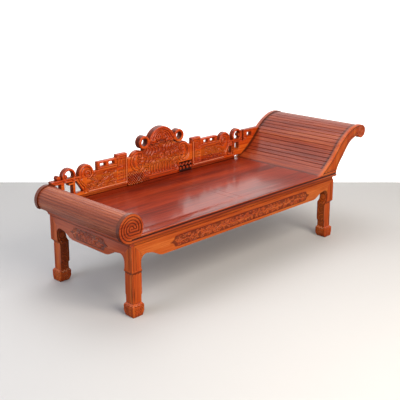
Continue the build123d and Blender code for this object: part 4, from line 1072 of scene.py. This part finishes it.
# %% headrest frames
SCROLL = (1001.0, 657.5)  # x and z of the scroll's middle
SCROLL_RADIUS = 42.5
SIDE_LEVEL = 360.0       # mm from the middle of the bed to the outer faces
FRAME_THICK = 27.0
FRAME_STEP = 1.6


def groove(inset, middle, half):
    """Cross-section of a groove that follows the rim: a parabola, 1 in its middle, 0 at `half`."""
    return np.clip(1 - ((inset - middle) / half) ** 2, 0, 1)


for out, name in ((-1, "front"), (1, "back")):
    node = "head_stile_" + name
    grid = clipped_grid(outer_loop(face_rim(node, 1, out * SIDE_LEVEL)), FRAME_STEP)
    x, z = grid[0].T
    inset = grid[1]
    field = new_field(grid[0], inset)
    carve(field, arc(*SCROLL, 36, 120, 120 - 690, 4), 7.5, 0.0, cut=2.8)
    height, shade_and_highlight = carved_height(field, cut=2.8, spread=2.5, edge=1.0, dark=1.0)
    in_scroll = np.hypot(x - SCROLL[0], z - SCROLL[1]) < SCROLL_RADIUS
    deep, faint = groove(inset, 10.5, 3.0), groove(inset, 20.0, 2.4)
    eased = 0.25 * np.clip(2 - inset, 0, 2) ** 2
    height = np.where(in_scroll, height, -1.8 * deep - 1.0 * faint - eased)
    # painted shade in the two grooves round the rim
    stain = np.maximum(1.1 * np.clip(deep, 0, 0.9), 0.6 * faint)
    shade_and_highlight = np.where(in_scroll, shade_and_highlight, stain)
    # a fine line beside the edge gets a painted highlight
    shade_and_highlight = np.where((inset > 3.5) & (inset < 6) & ~in_scroll, -0.25, shade_and_highlight)
    carved_shell("carved_" + node, grid, np.clip(height, -3.0, 0.0), shade_and_highlight, -FRAME_THICK,
                 lambda p: np.stack([p[:, 0], out * (SIDE_LEVEL + p[:, 2]), p[:, 1]], 1),
                 wood_post, [node])

# %% [markdown]
# ## Applied relief on the aprons
# Each apron carries a long cartouche of dense dragon-and-cloud scrollwork, barely two millimetres
# proud. A cartouche is a carved shell of its own that sits on the face: the curls are strewn by a
# seeded random draw, because the eye reads such a field as texture, and a bead frames them.

# %% one cartouche
def cartouche(half, low, high):
    """Outline of a long panel, as points in order round it: a smooth curve through seven knots
    makes the ogee at one end, and its mirror image makes the other."""
    middle = (low + high) / 2
    right = bend((half - 60, low), (half - 34, low + 4), (half - 24, middle - 12), (half, middle),
                 (half - 24, middle + 12), (half - 34, high - 4), (half - 60, high))
    return np.concatenate([right, right[::-1] * (-1, 1)])


def strew_curls(field, half, low, high, curls):
    """Clouds are short curls that wind in; bodies and tails are long bends that swing up and down
    about the middle."""
    middle, tall = (low + high) / 2, (high - low) / 2
    for _ in range(int(half * 0.55)):
        spot = np.array([curls.uniform(-half + 40, half - 40), curls.uniform(low + 7, high - 7)])
        start = curls.uniform(0, 360)
        turn = curls.choice((-1, 1)) * curls.uniform(150, 330)
        carve(field, arc(*spot, curls.uniform(6, 12), start, start + turn, 2.5),
              curls.uniform(3.5, 5.5), 1.4, cut=0.8, taper=0.4)
    for start in np.arange(-half + 34, half - 60, 52):
        lift = curls.uniform(-0.35, 0.35, 4) * tall
        knots = [(start + 17 * k, middle + lift[k] * (1 if k % 2 else -1)) for k in range(4)]
        carve(field, bend(*knots), 6.5, 1.5, cut=0.8, taper=0.4)


RELIEF_STEP = 1.8
SINK = 2.0               # mm that a relief goes into the apron, so that no gap shows
BEAD = 3.0               # mm wide, with a groove as wide inside it that gets painted shade


def relief(name, half, low, high, place, curls):
    """Low relief inside a cartouche, with a bead round it."""
    outline = cartouche(half, low, high)
    grid = clipped_grid(np.stack([outline, np.roll(outline, -1, 0)], 1), RELIEF_STEP)
    inset = grid[1]
    field = new_field(grid[0], inset, 0.6)
    strew_curls(field, half, low, high, curls)
    height, shade_and_highlight = carved_height(field, cut=0.8, spread=2.6, edge=0.5, dark=0.8)
    # painted shade on the ground between the curls and in the groove inside the bead
    shade_and_highlight = np.maximum(shade_and_highlight, 0.6 * (field["gap"] > 0))
    height = np.where(inset < BEAD, 1.4, height)
    shade_and_highlight = np.where(inset < BEAD, 0.1, np.where(inset < 2 * BEAD, 0.8, shade_and_highlight))
    carved_shell(name, grid, np.clip(height, 0.1, 2.2), shade_and_highlight, -SINK, place, wood_rail, [])


print("points round a cartouche:", len(cartouche(160.0, 298.0, 367.0)))

# %% [markdown]
# The long cartouches are centred on the seat, the short ones on the ends, and all four look
# outwards: the sign of a face's level says which way that is.

# %% reliefs on the four aprons
MID_X = -117.0           # middle of the long aprons
curls = np.random.default_rng(23)
for y, name in ((-347.0, "front"), (347.0, "back")):
    relief("relief_apron_" + name, 585.0, 300.0, 363.0,
           lambda p: np.stack([p[:, 0] + MID_X, y + math.copysign(1, y) * p[:, 2], p[:, 1]], 1),
           curls)
for x, name in ((-958.5, "left"), (724.5, "right")):
    relief("relief_apron_" + name, 160.0, 298.0, 367.0,
           lambda p: np.stack([x + math.copysign(1, x) * p[:, 2], p[:, 0], p[:, 1]], 1),
           curls)

# %% [markdown]
# ## Floor and backdrop
# The floor runs back to a wall that rises out of it in a curve, as a studio's paper does. Both are
# square to the camera, and the floor is the greyer of the two, so that the legs stand on something.
# What lights the room and what the camera sees can differ, since the paint asks whether a ray
# comes straight from the camera. The wall also glows for the camera and for reflections, so that
# the lacquer mirrors the same white that stands behind it.

# %% floor and backdrop
def sheet(name, rows, colour, shown, white=0.0):
    """A bent sheet: each row is a depth and a height. `colour` is what lights the room, `shown`
    is what the camera sees; with `white` it also shines for the camera and in reflections."""
    rows = np.array(rows)
    turn = math.radians(LOOKS_RIGHT)
    forward = np.array([math.sin(turn), math.cos(turn), 0.0])
    right = np.array([math.cos(turn), -math.sin(turn), 0.0])
    across = np.array([-9.0, 9.0])           # metres to either side
    points = (rows[:, None, :1] * forward + across[None, :, None] * right)
    points[..., 2] = rows[:, None, 1]
    flat = points.reshape(-1, 3)
    first = np.arange(len(rows) - 1) * 2
    quads = np.stack([first, first + 1, first + 3, first + 2], 1)
    mesh = bpy.data.meshes.new(name)
    mesh.from_pydata(flat.tolist(), [], quads.tolist())
    mesh.polygons.foreach_set("use_smooth", np.ones(len(quads), bool))
    material = bpy.data.materials.new(name)
    material.use_nodes = True
    tree = material.node_tree
    paint = tree.nodes["Principled BSDF"]
    paint.inputs["Roughness"].default_value = 0.85
    path = add_node(tree, "ShaderNodeLightPath")
    seen = add_node(tree, "ShaderNodeMix", {
        "Factor": path.outputs["Is Camera Ray"], "A": linear(colour), "B": linear(shown)},
        data_type="RGBA")
    tree.links.new(seen.outputs[2], paint.inputs["Base Color"])
    direct = add_node(tree, "ShaderNodeMath", {
        0: path.outputs["Is Camera Ray"], 1: path.outputs["Is Glossy Ray"]}, operation="MAXIMUM")
    glow = add_node(tree, "ShaderNodeMath", {0: direct.outputs[0], 1: white}, operation="MULTIPLY")
    paint.inputs["Emission Color"].default_value = linear("#ffffff")
    tree.links.new(glow.outputs[0], paint.inputs["Emission Strength"])
    # from behind the sheet is clear, so the back can be looked at too
    side = add_node(tree, "ShaderNodeNewGeometry")
    clear = add_node(tree, "ShaderNodeBsdfTransparent")
    both = add_node(tree, "ShaderNodeMixShader", {
        0: side.outputs["Backfacing"], 1: paint.outputs[0], 2: clear.outputs[0]})
    tree.links.new(both.outputs[0], tree.nodes["Material Output"].inputs["Surface"])
    mesh.materials.append(material)
    thing = bpy.data.objects.new(name, mesh)
    bpy.context.scene.collection.objects.link(thing)


FLOOR_ENDS, CURVE = 1.5, 0.5     # metres behind the middle, and the radius up into the wall
turn = np.radians(np.linspace(0, 90, 17))
curve = np.stack([FLOOR_ENDS + CURVE * np.sin(turn), CURVE - CURVE * np.cos(turn)], 1)
sheet("studio_floor", [(-9.0, 0.0), (FLOOR_ENDS, 0.0)], "#707070", "#d8d8d8")
sheet("studio_wall", [*curve.tolist(), (FLOOR_ENDS + CURVE, 6.0)], "#f2f2f2", "#f2f2f2", 0.75)
print("rows in the wall's curve:", len(curve))

# %% [markdown]
# ## Light
# A large soft lamp at the front gives the fronts their glow, a weaker one at the left keeps the
# end from going black, one overhead lifts the seat, and an even grey world fills the rest.

# %% lamps and world
def lamp(name, size, power, place, target, colour):
    """A square softbox of `size` metres that looks from `place` at `target`: it hangs face down,
    tilts by the angle between that line and the plumb line, and turns to the line's bearing."""
    data = bpy.data.lights.new(name, "AREA")
    data.shape = "SQUARE"
    data.size = size
    data.energy = power
    data.color = linear(colour)[:3]
    thing = bpy.data.objects.new(name, data)
    bpy.context.scene.collection.objects.link(thing)
    thing.location = place
    away = np.array(place) - np.array(target)
    flat = math.hypot(away[0], away[1])
    thing.rotation_euler = (math.atan2(flat, away[2]), 0.0, math.atan2(away[0], -away[1]))
    return thing


lamp("front_softbox", 2.4, 117, (-0.6, -3.0, 2.4), (0.0, 0.0, 0.4), "#fff4e6")
lamp("left_softbox", 2.0, 43, (-3.8, 0.4, 1.9), (-0.6, 0.0, 0.5), "#eaf0ff")
# a white card beside the left end: it gives no light, it only shows in the lacquer
card = lamp("left_card", 1.2, 3.4, (-1.66, 0.46, 0.62), (-1.66, -1.0, 0.62), "#ffffff")
card.visible_camera = False
card.visible_diffuse = False
lamp("top_softbox", 3.0, 60, (0.6, 0.9, 3.6), (0.0, 0.0, 0.4), "#ffffff")
world = bpy.data.worlds.new("studio_air")
bpy.context.scene.world = world
world.use_nodes = True
air = world.node_tree.nodes["Background"]
air.inputs["Color"].default_value = linear("#ffffff")
air.inputs["Strength"].default_value = 0.28
bpy.context.scene.view_settings.view_transform = "Standard"
print("lamps:", len(bpy.data.lights))
